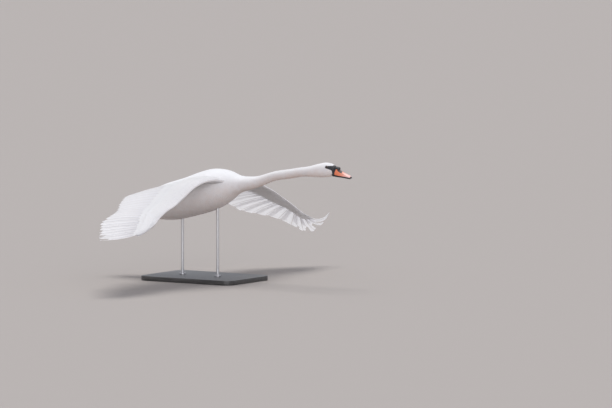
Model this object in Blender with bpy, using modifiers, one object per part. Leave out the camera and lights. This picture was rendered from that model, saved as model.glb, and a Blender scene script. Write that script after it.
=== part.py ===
"""Mute swan (Cygnus olor) in flight, life size, held on a plain display stand.

Frame: metres, +Z up, +X the way the bird flies, +Y its left side. The origin is the centre of the
underside of the stand's base. The bird is drawn in its own plane: `f` runs forward, `s` to its left and
`u` up from BODY_ORIGIN. Every solid is closed, and neighbours keep the clearance GAP.
"""

import math
from dataclasses import dataclass

import bmesh
import bpy
import numpy as np
from mathutils import Vector

# ---------------------------------------------------------------- driving sizes (metres)
GAP = 0.0003                            # clearance between neighbouring solids
CUT_GAP = 0.0008                        # the same across a ring of the body, where a piece is cut to fit it
SPINE_STEP = 0.006                      # how far ahead and behind a ring looks for the way it faces
BODY_ORIGIN = Vector((0.060, 0.0, 0.430))  # where f = s = u = 0 stands above the base

# the body's spine from tail base to bill base: f, u, half height, half width
SPINE = {
    "tail_base": (-0.405, -0.101, 0.038, 0.064),
    "vent": (-0.360, -0.0925, 0.060, 0.083),
    "rump": (-0.310, -0.079, 0.075, 0.098),
    "belly_rear": (-0.222, -0.060, 0.090, 0.114),
    "belly": (-0.136, -0.0375, 0.0925, 0.122),
    "back": (-0.060, -0.0135, 0.0955, 0.126),
    "chest": (0.0045, 0.0097, 0.0920, 0.122),
    "shoulders": (0.0489, 0.0215, 0.0810, 0.106),
    "breast": (0.0877, 0.0290, 0.0660, 0.084),
    "crop": (0.1200, 0.0325, 0.0500, 0.062),
    "neck_root": (0.1510, 0.0353, 0.0385, 0.046),
    "neck_low": (0.2025, 0.0426, 0.0305, 0.035),
    "neck_rise": (0.2450, 0.0512, 0.0256, 0.0285),
    "neck_mid": (0.3085, 0.0725, 0.0222, 0.0240),
    "neck_arch": (0.3510, 0.0848, 0.0214, 0.0225),
    "neck_high": (0.4180, 0.0950, 0.0218, 0.0220),
    "nape": (0.4930, 0.1080, 0.0216, 0.0220),
    "occiput": (0.5400, 0.1128, 0.0250, 0.0240),
    "ear": (0.5690, 0.1164, 0.0295, 0.0275),
    "cheek": (0.5970, 0.1200, 0.0325, 0.0296),
    "crown": (0.6260, 0.1238, 0.0342, 0.0302),
    "eye": (0.6470, 0.1240, 0.0318, 0.0286),
    "lores": (0.6630, 0.1218, 0.0272, 0.0250),
    "bill_base": (0.6730, 0.1195, 0.0235, 0.0222),
}
# node: first station, last station, rings, points round each ring
BODY_NODES = {
    "trunk": ("tail_base", "crop", 21, 24),
    "neck_base": ("crop", "neck_rise", 7, 24),
    "neck_middle": ("neck_rise", "neck_high", 7, 16),
    "neck_upper": ("neck_high", "occiput", 6, 16),
    "head": ("occiput", "bill_base", 12, 20),
}
# what cuts the pieces that meet these nodes
CLEARANCES = {"trunk_clearance": ("trunk", "neck_base"), "head_clearance": ("head",)}

# the wings: leading and trailing edges against the span, with a height for each side
LEAD_SPAN = (0.03, 0.09, 0.13, 0.17, 0.21, 0.26, 0.33, 0.40, 0.46, 0.50, 0.58, 0.64, 0.70)
LEAD_F = (0.105, 0.0985, 0.0925, 0.086, 0.073, 0.0625, 0.051,
          0.044, 0.037, 0.0365, 0.0505, 0.0605, 0.0615)
LEAD_U = {
    "right": (0.042, 0.053, 0.058, 0.058, 0.050, 0.032, -0.008,
              -0.045, -0.067, -0.085, -0.120, -0.134, -0.152),
    "left": (0.036, 0.039, 0.041, 0.041, 0.037, 0.028, 0.003,
             -0.020, -0.040, -0.058, -0.104, -0.142, -0.173),
}
TRAIL_SPAN = (0.045, 0.10, 0.15, 0.20, 0.25, 0.30, 0.36, 0.42, 0.50,
              0.60, 0.70, 0.80, 0.85, 0.90, 0.95, 0.985)
TRAIL_F = (-0.235, -0.280, -0.315, -0.342, -0.344, -0.329, -0.308, -0.282, -0.266,
           -0.240, -0.178, -0.113, -0.080, -0.047, -0.013, 0.016)
TRAIL_U = {
    "right": (-0.012, -0.004, -0.014, -0.024, -0.030, -0.040, -0.062, -0.085, -0.101,
              -0.119, -0.132, -0.1435, -0.150, -0.154, -0.157, -0.164),
    "left": (-0.012, -0.002, -0.010, -0.017, -0.024, -0.034, -0.052, -0.074, -0.110,
             -0.156, -0.180, -0.219, -0.256, -0.266, -0.234, -0.166),
}
WRIST_SPAN = 0.50                       # the arm and the hand meet in this plane
ARM_INNER_LEAD, ARM_INNER_TRAIL = 0.03, 0.045
SECONDARIES = 20                        # secondaries and tertials that show along the arm
PRIMARIES = 10
ARM_ROWS = (0.0, 0.03, 0.12, 0.30, 0.60, 0.955, 1.0)
HAND_ROWS = (0.0, 0.03, 0.10, 0.22, 0.40, 0.60, 0.78, 0.93, 1.0)
# spans at which the gaps between primaries leave the leading edge and reach the trailing edge
HAND_LEAD_SPAN = (0.50, 0.52, 0.54, 0.56, 0.58, 0.60, 0.615, 0.63, 0.645, 0.66, 0.67)
HAND_TRAIL_SPAN = (0.50, 0.559, 0.6165, 0.6735, 0.730, 0.7865, 0.842, 0.893, 0.939, 0.9665, 0.985)
ARM_CAMBER = 0.020
HAND_CAMBER = 0.010
HAND_BOW = 0.010                        # how far the outer primaries bow forward
HAND_SAG = {"right": 0.012, "left": 0.036}  # how far they bow down between root and raised tip
# the edge between two primaries, and the row where they part into fingers
FINGER_ROWS = {"right": {7: 7, 8: 6, 9: 6}, "left": {7: 6, 8: 5, 9: 5}}
FINGER_NARROWS = (0.10, 0.24)           # share of a finger's width lost beside the gap and at its tip
TIP_ROUND = 0.022                       # how far a tip's corners lie behind its point, as a share
ARM_THICK = ((0.03, 0.046), (0.20, 0.038), (0.35, 0.030), (0.50, 0.022))
HAND_THICK = ((0.0, 0.022), (5.0, 0.016), (10.0, 0.007))  # against the primary's number
# share of the thickness against the share of the way from leading to trailing edge
SECTION = ((0.0, 0.14), (0.03, 0.36), (0.12, 0.80), (0.25, 0.95), (0.45, 0.42), (0.70, 0.16), (1.0, 0.05))
OUTER_EDGE_THIN = 0.65                  # how much thinner the outermost primary gets at its free edge
THINNEST = 0.0010                       # feather tips

TAIL_FEATHERS = 12                      # pairs that overlap closely show as one
TAIL_WEDGE = 0.34                       # how much shorter the outermost feather is, as a share
TAIL_DROOP = 0.010                      # how far the outermost feathers hang
TAIL_ROWS = (0.0, 0.14, 0.30, 0.48, 0.66, 0.93, 1.0)
TAIL_LINE = (                           # f, u, half height, half width behind the tail base
    (-0.440, -0.1135, 0.0265, 0.0605),
    (-0.480, -0.1295, 0.0150, 0.0570),
    (-0.520, -0.1460, 0.0060, 0.0590),
    (-0.560, -0.1630, 0.0015, 0.0680),
    (-0.592, -0.1760, 0.0005, 0.0740),
)

KNOB_CENTRE = (0.6880, 0.1316)
KNOB_RADII = (0.0150, 0.0104, 0.0104)
EYE_CENTRE = (0.6425, 0.0228, 0.1385)
EYE_RADIUS = 0.0062

# the bill: f, then u of the culmen, the gape and the keel below it, and the half width
BILL = (
    (0.6680, 0.1370, 0.1010, 0.0950, 0.0190),
    (0.6800, 0.1358, 0.1000, 0.0935, 0.0180),
    (0.6910, 0.1320, 0.0990, 0.0925, 0.0172),
    (0.7020, 0.1258, 0.0978, 0.0917, 0.0166),
    (0.7150, 0.1190, 0.0966, 0.0908, 0.0162),
    (0.7280, 0.1128, 0.0953, 0.0896, 0.0161),
    (0.7420, 0.1076, 0.0940, 0.0876, 0.0160),
    (0.7545, 0.1026, 0.0922, 0.0860, 0.0146),
    (0.7610, 0.0983, 0.0903, 0.0856, 0.0110),
    (0.7640, 0.0940, 0.0883, 0.0862, 0.0050),
)
BILL_LOWER_WIDTH = 0.86                 # of the upper half's width
BILL_LOWER_STATIONS = 8                 # the lower half ends short of the nail
BILL_POINTS = (11, 9)                   # points round the section of the upper and lower halves

LEG_SPAN = 0.050
LEG_START = (-0.325, -0.128)            # inside the trunk
TOE_JOINT = (-0.425, -0.180)
TOE_END = (-0.556, -0.207)
LEG_RADII = (0.0095, 0.0065)
LEG_DEPTH = 0.85                        # its height as a share of its width
LEG_POINTS = 10
TOE_START = (TOE_JOINT[0] - 0.0035, TOE_JOINT[1] - 0.0012)  # clear of the leg's end
FOOT_HALF_WIDTH = (0.008, 0.021)        # at the joint and across the folded toes
FOOT_ROWS = (0.0, 0.25, 0.5, 0.75, 0.92, 1.0)
# toes at 0, 1 and 2 and the web's middle between them, with how far back each reaches
FOOT_REACH = {0.0: 0.80, 0.5: 0.86, 1.0: 1.0, 1.5: 0.90, 2.0: 0.92}
FOOT_SPREAD = 1.6                       # how soon the toes reach their full spread
TOE_HALF_THICK = (0.0062, 0.0026)
WEB_HALF_THICK = (0.0045, 0.0008)

STAND_BASE = (0.520, 0.360, 0.022)      # length, width, thickness
STAND_BASE_ROUND = 0.045                # corner radius seen from above
STAND_BASE_EDGE = 0.003
ROD_RADIUS = 0.007
ROD_F = {"stand_rod_front": 0.015, "stand_rod_rear": -0.185}
ROD_REACH = 0.08                        # runs this far into the body before it is cut to it

# colour, roughness, metallic
FINISHES = {
    "plumage": ((0.90, 0.885, 0.865), 0.75, 0.0),
    "bill_orange": ((0.85, 0.24, 0.06), 0.40, 0.0),
    "bill_black": ((0.015, 0.015, 0.020), 0.45, 0.0),
    "eye": ((0.020, 0.010, 0.006), 0.08, 0.0),
    "foot": ((0.030, 0.030, 0.032), 0.55, 0.0),
    "base": ((0.055, 0.055, 0.058), 0.45, 0.0),
    "rod": ((0.62, 0.62, 0.63), 0.25, 1.0),
}


# ---------------------------------------------------------------- curves
def smooth(x, xs, ys):
    """Value at x of the curve through (xs, ys), without overshoot between its points."""
    xs, ys = np.asarray(xs, float), np.asarray(ys, float)
    step = np.diff(xs)
    slope = np.diff(ys) / step
    tangent = np.concatenate(([slope[0]], np.zeros(len(xs) - 2), [slope[-1]]))
    for k in range(1, len(xs) - 1):
        if slope[k - 1] * slope[k] > 0:
            left, right = 2 * step[k] + step[k - 1], step[k] + 2 * step[k - 1]
            tangent[k] = (left + right) / (left / slope[k - 1] + right / slope[k])
    x = min(max(x, xs[0]), xs[-1])
    k = min(int(np.searchsorted(xs, x, side="right")) - 1, len(xs) - 2)
    t = (x - xs[k]) / step[k]
    return float(
        ys[k] * (1 + 2 * t) * (1 - t) ** 2
        + ys[k + 1] * t * t * (3 - 2 * t)
        + step[k] * t * (1 - t) * (tangent[k] * (1 - t) - tangent[k + 1] * t)
    )


def along(pairs, x):
    """Value at x of the smooth curve through (x, value) pairs."""
    return smooth(x, [p[0] for p in pairs], [p[1] for p in pairs])


def lerp(a, b, t):
    return a + (b - a) * t


def place(f, s, u):
    """World position of a point of the bird."""
    return BODY_ORIGIN + Vector((f, s, u))


@dataclass(frozen=True)
class Ring:
    """A cross-section of the body: its centre, the direction it faces, and its half sizes."""

    centre: Vector
    facing: Vector
    height: float
    width: float

    def up(self):
        return Vector((0.0, 1.0, 0.0)).cross(self.facing).normalized() * -1.0

    def points(self, count, grow=0.0, shift=0.0):
        up = self.up()
        centre = self.centre + self.facing * shift
        turn = [2 * math.pi * k / count for k in range(count)]
        return [
            centre
            + Vector((0.0, 1.0, 0.0)) * (self.width + grow) * math.cos(a)
            + up * (self.height + grow) * math.sin(a)
            for a in turn
        ]


class Spine:
    """The smooth body axis through a table of stations, read by distance along it."""

    def __init__(self, stations):
        self.table = np.array(stations, float)
        steps = np.hypot(np.diff(self.table[:, 0]), np.diff(self.table[:, 1]))
        self.reach = np.concatenate(([0.0], np.cumsum(steps)))

    def read(self, column, distance):
        return smooth(distance, self.reach, self.table[:, column])

    def ring(self, distance):
        ahead, behind = (min(max(distance + d, 0.0), self.reach[-1]) for d in (SPINE_STEP, -SPINE_STEP))
        run = self.read(0, ahead) - self.read(0, behind)
        rise = self.read(1, ahead) - self.read(1, behind)
        centre = place(self.read(0, distance), 0.0, self.read(1, distance))
        facing = Vector((run, 0.0, rise)).normalized()
        return Ring(centre, facing, self.read(2, distance), self.read(3, distance))


# ---------------------------------------------------------------- making objects
def start_scene():
    for item in list(bpy.data.objects):
        bpy.data.objects.remove(item, do_unlink=True)
    made = {}
    for name in ("mute_swan", "cutters"):
        made[name] = bpy.data.collections.new(name)
        bpy.context.scene.collection.children.link(made[name])
    return made


def material(node, finish):
    colour, roughness, metallic = FINISHES[finish]
    made = bpy.data.materials.new(f"{node}_finish")
    made.use_nodes = True
    shader = made.node_tree.nodes["Principled BSDF"]
    shader.inputs["Base Color"].default_value = (*colour, 1.0)
    shader.inputs["Roughness"].default_value = roughness
    shader.inputs["Metallic"].default_value = metallic
    return made


def add_object(name, verts, faces, collection, finish=None):
    mesh = bpy.data.meshes.new(name)
    mesh.from_pydata([tuple(v) for v in verts], [], faces)
    work = bmesh.new()
    work.from_mesh(mesh)
    bmesh.ops.recalc_face_normals(work, faces=work.faces)
    work.to_mesh(mesh)
    work.free()
    mesh.shade_smooth()
    mesh.set_sharp_from_angle(angle=math.radians(50))
    made = bpy.data.objects.new(name, mesh)
    collection.objects.link(made)
    if finish:
        mesh.materials.append(material(name, finish))
    else:
        made.hide_render = True
        made.display_type = "WIRE"
    return made


def adopt(name, collection, finish):
    """Take the primitive just made into the model under its node's name."""
    made = bpy.context.active_object
    made.name = made.data.name = name
    for holder in list(made.users_collection):
        holder.objects.unlink(made)
    collection.objects.link(made)
    if finish:
        made.data.materials.append(material(name, finish))
        made.data.shade_smooth()
        made.data.set_sharp_from_angle(angle=math.radians(40))
    else:
        made.hide_render = True
        made.display_type = "WIRE"
    return made


def boolean(target, other, operation="DIFFERENCE"):
    cut = target.modifiers.new(f"{operation.lower()}_{other.name}", "BOOLEAN")
    cut.operation = operation
    cut.object = other


def loft(rings):
    """Closed tube through rings with the same number of points each."""
    count = len(rings[0])
    verts = [p for ring in rings for p in ring]
    faces = []
    for r in range(len(rings) - 1):
        for k in range(count):
            a, b = r * count + k, r * count + (k + 1) % count
            faces.append((a, b, b + count, a + count))
    faces.append(tuple(range(count)))
    faces.append(tuple(range(len(verts) - count, len(verts))))
    return verts, faces


def slab(points, halves, faces, up=Vector((0.0, 0.0, 1.0))):
    """Closed solid made from a sheet by moving it up and down by its half thickness."""
    count = len(points)
    verts = [p + up * h for p, h in zip(points, halves)]
    verts += [p - up * h for p, h in zip(points, halves)]
    under = [tuple(k + count for k in reversed(face)) for face in faces]
    open_edges = {}
    for face in faces:
        for a, b in zip(face, face[1:] + face[:1]):
            if open_edges.pop((b, a), None) is None:
                open_edges[a, b] = True
    rim = [(b, a, a + count, b + count) for a, b in open_edges]
    return verts, faces + under + rim


def feather_slab(point, half, count, rows, shared, up=Vector((0.0, 0.0, 1.0))):
    """Closed solid of feathers side by side, joined near their roots and apart at their tips.

    point(q, t) is the sheet: q counts feathers across it, t runs from root to tip. half(q, t) is half
    its thickness. shared[k] is the last row in which the feathers on either side of edge k still touch.
    """
    points, halves, index, faces = [], [], {}, []

    def vertex(key, q, t):
        if key not in index:
            index[key] = len(points)
            points.append(point(q, t))
            halves.append(half(q, t))
        return index[key]

    last = len(rows) - 1
    for feather in range(count):
        lines = []
        for side in (-1, 0, 1):
            edge = feather + (1 if side > 0 else 0)
            line = []
            for row, t in enumerate(rows):
                if side == 0:
                    line.append(vertex(("mid", feather, row), feather + 0.5, t))
                elif row <= shared[edge]:
                    line.append(vertex(("edge", edge, row), edge, t))
                else:
                    free = (row - shared[edge]) / (last - shared[edge])
                    beside_gap, at_tip = FINGER_NARROWS
                    width = 0.5 - beside_gap * min(1.0, 3 * free) - at_tip * free**3
                    reach = t if row < last else t - TIP_ROUND
                    line.append(vertex((side, feather, row), feather + 0.5 + side * width, reach))
            lines.append(line)
        for a, b in zip(lines, lines[1:]):
            for row in range(last):
                faces.append((a[row], b[row], b[row + 1], a[row + 1]))
    return slab(points, halves, faces, up)


# ---------------------------------------------------------------- body, neck and head
def build_body(model, cutters):
    """The lengths of the body along its spine; returns what cuts the pieces that meet the trunk."""
    names = list(SPINE)
    spine = Spine(list(SPINE.values()))
    made, distances = {}, {}
    for node, (first, final, rings, count) in BODY_NODES.items():
        start, end = spine.reach[names.index(first)], spine.reach[names.index(final)]
        distances[node] = np.linspace(start, end, rings)
        shifts = [GAP / 2] + [0.0] * (rings - 2) + [-GAP / 2]
        loops = [spine.ring(d).points(count, shift=s) for d, s in zip(distances[node], shifts)]
        made[node] = add_object(node, *loft(loops), model, "plumage")
    for name, nodes in CLEARANCES.items():
        reach = sorted({d for node in nodes for d in distances[node]})
        count = BODY_NODES[nodes[0]][3]
        loops = [spine.ring(d).points(count, grow=CUT_GAP) for d in reach]
        made[name] = add_object(name, *loft(loops), cutters)
    return made


def build_eyes(model, cutters, head):
    f, s, u = EYE_CENTRE
    for side, sign in (("right", -1), ("left", 1)):
        for grow, finish, collection in ((0.0, "eye", model), (GAP, None, cutters)):
            bpy.ops.mesh.primitive_uv_sphere_add(
                segments=16, ring_count=8, radius=EYE_RADIUS + grow,
                location=place(f, sign * s, u), rotation=(math.radians(90), 0, 0),
            )
            name = f"eye_{side}" if finish else f"eye_{side}_socket"
            made = adopt(name, collection, finish)
        boolean(head, made)


def bill_ring(f, crest, gape, width, count):
    """Section of one half of the bill: flat along the gape and arched to its crest."""
    points = []
    for k in range(count):
        turn = math.pi * k / (count - 1)
        rise = math.sin(turn) ** 0.85 if 0 < k < count - 1 else 0.0
        side = math.copysign(abs(math.cos(turn)) ** 0.80, math.cos(turn))
        points.append(place(f, width * side, lerp(gape, crest, rise)))
    return points


def build_bill(model, cutters, head_clearance):
    half = GAP / 2
    above, below = BILL_POINTS
    upper = [bill_ring(f, culmen, gape + half, width, above) for f, culmen, gape, _, width in BILL]
    lower = [
        bill_ring(f, keel, gape - half, width * BILL_LOWER_WIDTH, below)
        for f, _, gape, keel, width in BILL[:BILL_LOWER_STATIONS]
    ]
    boolean(add_object("bill_upper", *loft(upper), model, "bill_orange"), head_clearance)
    boolean(add_object("bill_lower", *loft(lower), model, "bill_black"), head_clearance)
    grown = [bill_ring(f, culmen + GAP, gape - GAP, width + GAP, above) for f, culmen, gape, _, width in BILL]
    clearance = add_object("bill_upper_clearance", *loft(grown), cutters)
    f, u = KNOB_CENTRE
    bpy.ops.mesh.primitive_uv_sphere_add(segments=16, ring_count=10, radius=1.0, location=place(f, 0.0, u))
    bpy.context.active_object.scale = KNOB_RADII
    bpy.ops.object.transform_apply(location=False, rotation=False, scale=True)
    knob = adopt("bill_knob", model, "bill_black")
    boolean(knob, head_clearance)
    boolean(knob, clearance)


# ---------------------------------------------------------------- wings and tail
class Wing:
    """One wing as a sheet between its leading and trailing edges, and the thickness on it."""

    def __init__(self, side):
        self.sign = -1 if side == "right" else 1
        self.lead_u = LEAD_U[side]
        self.trail_u = TRAIL_U[side]
        self.sag = HAND_SAG[side]

    def lead(self, span):
        return Vector((smooth(span, LEAD_SPAN, LEAD_F), span, smooth(span, LEAD_SPAN, self.lead_u)))

    def trail(self, span):
        return Vector((smooth(span, TRAIL_SPAN, TRAIL_F), span, smooth(span, TRAIL_SPAN, self.trail_u)))

    def world(self, point):
        return place(point.x, self.sign * point.y, point.z)

    def arm(self, q, t):
        share = q / SECONDARIES
        outer = WRIST_SPAN - GAP / 2
        root = self.lead(lerp(ARM_INNER_LEAD, outer, share))
        tip = self.trail(lerp(ARM_INNER_TRAIL, outer, share))
        point = root.lerp(tip, t)
        point.z += ARM_CAMBER * 4 * t * (1 - t) * (1 - 0.5 * share)
        return self.world(point)

    def arm_half(self, q, t):
        thick = along(ARM_THICK, lerp(ARM_INNER_LEAD, WRIST_SPAN, q / SECONDARIES))
        return max(THINNEST, thick * along(SECTION, t)) / 2

    def hand(self, q, t):
        numbers = range(PRIMARIES + 1)
        root = self.lead(max(smooth(q, numbers, HAND_LEAD_SPAN), WRIST_SPAN + GAP / 2))
        tip = self.trail(max(smooth(q, numbers, HAND_TRAIL_SPAN), WRIST_SPAN + GAP / 2))
        point = root.lerp(tip, t)
        hump = 4 * t * (1 - t)
        share = q / PRIMARIES
        point.x += HAND_BOW * hump * share**2
        point.z += hump * lerp(HAND_CAMBER, -self.sag, share**2)
        return self.world(point)

    def hand_half(self, q, t):
        edge = 1.0 - OUTER_EDGE_THIN * max(0.0, q - (PRIMARIES - 1)) ** 2
        return max(THINNEST, along(HAND_THICK, q) * along(SECTION, t) * edge) / 2


def build_wing(model, side, trunk_clearance):
    wing = Wing(side)
    arm_shared = [len(ARM_ROWS) - 2] * (SECONDARIES + 1)
    arm_shared[SECONDARIES] = len(ARM_ROWS) - 1
    arm_shared[0] = len(ARM_ROWS) - 1
    arm = feather_slab(wing.arm, wing.arm_half, SECONDARIES, ARM_ROWS, arm_shared)
    boolean(add_object(f"wing_arm_{side}", *arm, model, "plumage"), trunk_clearance)
    hand_shared = [len(HAND_ROWS) - 1] + [len(HAND_ROWS) - 2] * PRIMARIES
    for edge, row in FINGER_ROWS[side].items():
        hand_shared[edge] = row
    hand = feather_slab(wing.hand, wing.hand_half, PRIMARIES, HAND_ROWS, hand_shared)
    add_object(f"wing_hand_{side}", *hand, model, "plumage")


def build_tail(model):
    """The tail feathers side by side, thickened by the coverts where they leave the trunk."""
    base = Spine(list(SPINE.values())).ring(0.0)
    line = Spine([SPINE["tail_base"], *TAIL_LINE])
    up = base.up()

    def reach(q, t):
        across = 2 * q / TAIL_FEATHERS - 1
        return across, line.reach[-1] * t * (1 - TAIL_WEDGE * across**2 * t)

    def point(q, t):
        across, distance = reach(q, t)
        droop = up * (TAIL_DROOP * across**2 * t)
        side = line.read(3, distance) * across
        return place(line.read(0, distance), side, line.read(1, distance)) - droop - base.facing * GAP / 2

    def half(q, t):
        across, distance = reach(q, t)
        return max(THINNEST / 2, line.read(2, distance) * math.sqrt(1 - across**2))

    shared = [len(TAIL_ROWS) - 2] * (TAIL_FEATHERS + 1)
    fan = feather_slab(point, half, TAIL_FEATHERS, TAIL_ROWS, shared, up)
    add_object("tail", *fan, model, "plumage")


# ---------------------------------------------------------------- legs and feet
def build_leg(model, side, trunk_clearance):
    sign = -1 if side == "right" else 1
    start, joint = (place(f, sign * LEG_SPAN, u) for f, u in (LEG_START, TOE_JOINT))
    facing = (start - joint).normalized()
    rings = [
        Ring(start.lerp(joint, t), facing, lerp(*LEG_RADII, t) * LEG_DEPTH, lerp(*LEG_RADII, t))
        for t in np.linspace(0.0, 1.0, 4)
    ]
    loops = [ring.points(LEG_POINTS) for ring in rings]
    boolean(add_object(f"leg_{side}", *loft(loops), model, "foot"), trunk_clearance)
    add_object(f"foot_{side}", *foot_slab(sign), model, "foot")


def foot_slab(sign):
    """Three folded toes with the web between them, trailing behind the leg."""
    points, halves = [], []
    for q, reach in FOOT_REACH.items():
        for t in FOOT_ROWS:
            far = t * reach
            width = lerp(*FOOT_HALF_WIDTH, min(1.0, FOOT_SPREAD * far))
            points.append(
                place(lerp(TOE_START[0], TOE_END[0], far), sign * (LEG_SPAN + width * (q - 1.0)),
                      lerp(TOE_START[1], TOE_END[1], far))
            )
            toe, web = lerp(*TOE_HALF_THICK, t), lerp(*WEB_HALF_THICK, min(1.0, 2 * t))
            halves.append(toe if q == int(q) else web)
    rows = len(FOOT_ROWS)
    faces = [
        (c * rows + r, (c + 1) * rows + r, (c + 1) * rows + r + 1, c * rows + r + 1)
        for c in range(len(FOOT_REACH) - 1)
        for r in range(rows - 1)
    ]
    return slab(points, halves, faces)


# ---------------------------------------------------------------- stand
def build_stand(model, trunk_clearance):
    length, width, thickness = STAND_BASE
    bpy.ops.mesh.primitive_cube_add(size=1.0, location=(0.0, 0.0, thickness / 2))
    bpy.context.active_object.scale = STAND_BASE
    bpy.ops.object.transform_apply(location=False, rotation=False, scale=True)
    base = adopt("stand_base", model, "base")
    work = bmesh.new()
    work.from_mesh(base.data)
    upright = [e for e in work.edges if abs(e.verts[0].co.z - e.verts[1].co.z) > thickness / 2]
    bmesh.ops.bevel(work, geom=upright, offset=STAND_BASE_ROUND, segments=8, affect="EDGES", profile=0.5)
    work.to_mesh(base.data)
    work.free()
    edge = base.modifiers.new("edge", "BEVEL")
    edge.width = STAND_BASE_EDGE
    edge.segments = 2
    edge.limit_method = "ANGLE"
    edge.angle_limit = math.radians(60)
    for node, f in ROD_F.items():
        x = BODY_ORIGIN.x + f
        foot = thickness + GAP
        top = BODY_ORIGIN.z + underside(f) + ROD_REACH
        bpy.ops.mesh.primitive_cylinder_add(
            vertices=20, radius=ROD_RADIUS, depth=top - foot, location=(x, 0.0, (top + foot) / 2)
        )
        boolean(adopt(node, model, "rod"), trunk_clearance)


def underside(f):
    """Height of the body's lowest point at f, near enough to size a rod that is then cut to it."""
    rows = np.array(list(SPINE.values()))
    return float(np.interp(f, rows[:, 0], rows[:, 1] - rows[:, 2]))


def main():
    made = start_scene()
    model, cutters = made["mute_swan"], made["cutters"]
    body = build_body(model, cutters)
    build_eyes(model, cutters, body["head"])
    build_bill(model, cutters, body["head_clearance"])
    build_tail(model)
    for side in ("right", "left"):
        build_wing(model, side, body["trunk_clearance"])
        build_leg(model, side, body["trunk_clearance"])
    build_stand(model, body["trunk_clearance"])


main()
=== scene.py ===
"""Looks of a life-size mute swan in flight on a plain display stand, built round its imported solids.

The bird is drawn in its own axes: f forward, s to its left and u up, in metres from ORIGIN.
One skin stands for the flesh, and every feather is a vane of mesh planted on it.
"""

from __future__ import annotations

import logging
import math
from collections.abc import Sequence
from dataclasses import dataclass, field
from enum import IntEnum

import bmesh
import bpy
import numpy as np
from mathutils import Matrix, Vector

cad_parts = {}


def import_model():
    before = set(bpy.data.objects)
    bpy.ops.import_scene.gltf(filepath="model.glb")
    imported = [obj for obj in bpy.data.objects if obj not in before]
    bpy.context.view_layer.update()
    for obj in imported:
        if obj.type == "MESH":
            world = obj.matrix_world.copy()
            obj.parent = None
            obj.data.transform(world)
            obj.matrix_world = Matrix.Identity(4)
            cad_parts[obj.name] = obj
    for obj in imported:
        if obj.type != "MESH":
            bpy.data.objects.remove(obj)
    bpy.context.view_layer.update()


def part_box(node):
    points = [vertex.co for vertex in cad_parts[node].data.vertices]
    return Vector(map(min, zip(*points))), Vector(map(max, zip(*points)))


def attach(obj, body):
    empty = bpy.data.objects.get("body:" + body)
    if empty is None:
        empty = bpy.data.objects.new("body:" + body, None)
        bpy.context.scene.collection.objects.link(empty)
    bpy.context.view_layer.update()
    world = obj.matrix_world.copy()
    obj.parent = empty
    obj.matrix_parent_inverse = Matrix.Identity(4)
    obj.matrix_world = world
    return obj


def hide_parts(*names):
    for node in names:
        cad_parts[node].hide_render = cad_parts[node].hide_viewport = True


LOG = logging.getLogger("mute_swan")
ORIGIN = np.array((0.060, 0.0, 0.430))
LEFT, UP = np.array((0.0, 1.0, 0.0)), np.array((0.0, 0.0, 1.0))
TURN = 2 * math.pi
SHARP_EDGE = math.radians(35)

Array, Number = np.ndarray, np.ndarray | float
Colour, Sizes, Shape = tuple[float, float, float], tuple[float, ...], tuple[list, list]
Table = tuple[Sizes, ...]
Mesh, Material, Object = bpy.types.Mesh, bpy.types.Material, bpy.types.Object


class Side(IntEnum):
    """The two sides of the bird, with the sign of s on each."""

    RIGHT = -1
    LEFT = 1

    @property
    def label(self) -> str:
        """The side's name as piece names use it."""
        return self.name.lower()


class Face(IntEnum):
    """The two faces of a wing or tail, with the way each one looks."""

    UPPER = 1
    UNDER = -1


class Tint:
    """Linear colours of the bird, the stand and the studio."""

    WHITE = (1.0, 1.0, 1.0)
    FLIGHT_FEATHER, COVERT, CONTOUR = (0.965, 0.96, 0.97), (0.93, 0.925, 0.925), (0.885, 0.88, 0.885)
    # painted shade: the lavender grey towards each feather's base and in its barb grooves, where neighbours
    # and barbs would shade it
    # the warm colour is the neck's real stain and painted shade under the body and the neck
    FEATHER_ROOT, SHAFT, WARM_CAST = (0.84, 0.835, 0.86), (0.80, 0.77, 0.75), (0.82, 0.67, 0.60)
    SKIN, BARE_SKIN, BARE_FOLD = (0.78, 0.74, 0.72), (0.012, 0.012, 0.014), (0.045, 0.045, 0.050)
    # the bill's pale pink tip colour is a painted highlight
    ORANGE, BILL_TIP = (0.82, 0.225, 0.10), (0.93, 0.62, 0.57)
    BILL_RED, BILL_PINK = (0.70, 0.10, 0.03), (0.92, 0.50, 0.36)
    BILL_BLACK, BILL_GREY = (0.010, 0.010, 0.012), (0.040, 0.038, 0.040)
    IRIS, IRIS_RAY = (0.060, 0.022, 0.010), (0.11, 0.045, 0.018)
    IRIS_RIM, PUPIL = (0.008, 0.005, 0.004), (0.002, 0.002, 0.002)
    LEATHER, LEATHER_WORN = (0.030, 0.030, 0.033), (0.085, 0.082, 0.082)
    WOOD, WOOD_GRAIN = (0.030, 0.028, 0.027), (0.075, 0.070, 0.066)
    STEEL, STEEL_LIGHT = (0.56, 0.56, 0.57), (0.72, 0.72, 0.73)
    FLOOR, SKY = (0.385, 0.353, 0.333), (0.88, 0.91, 1.0)
    KEY, FILL = (1.0, 0.99, 0.97), (0.95, 0.95, 1.0)


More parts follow.
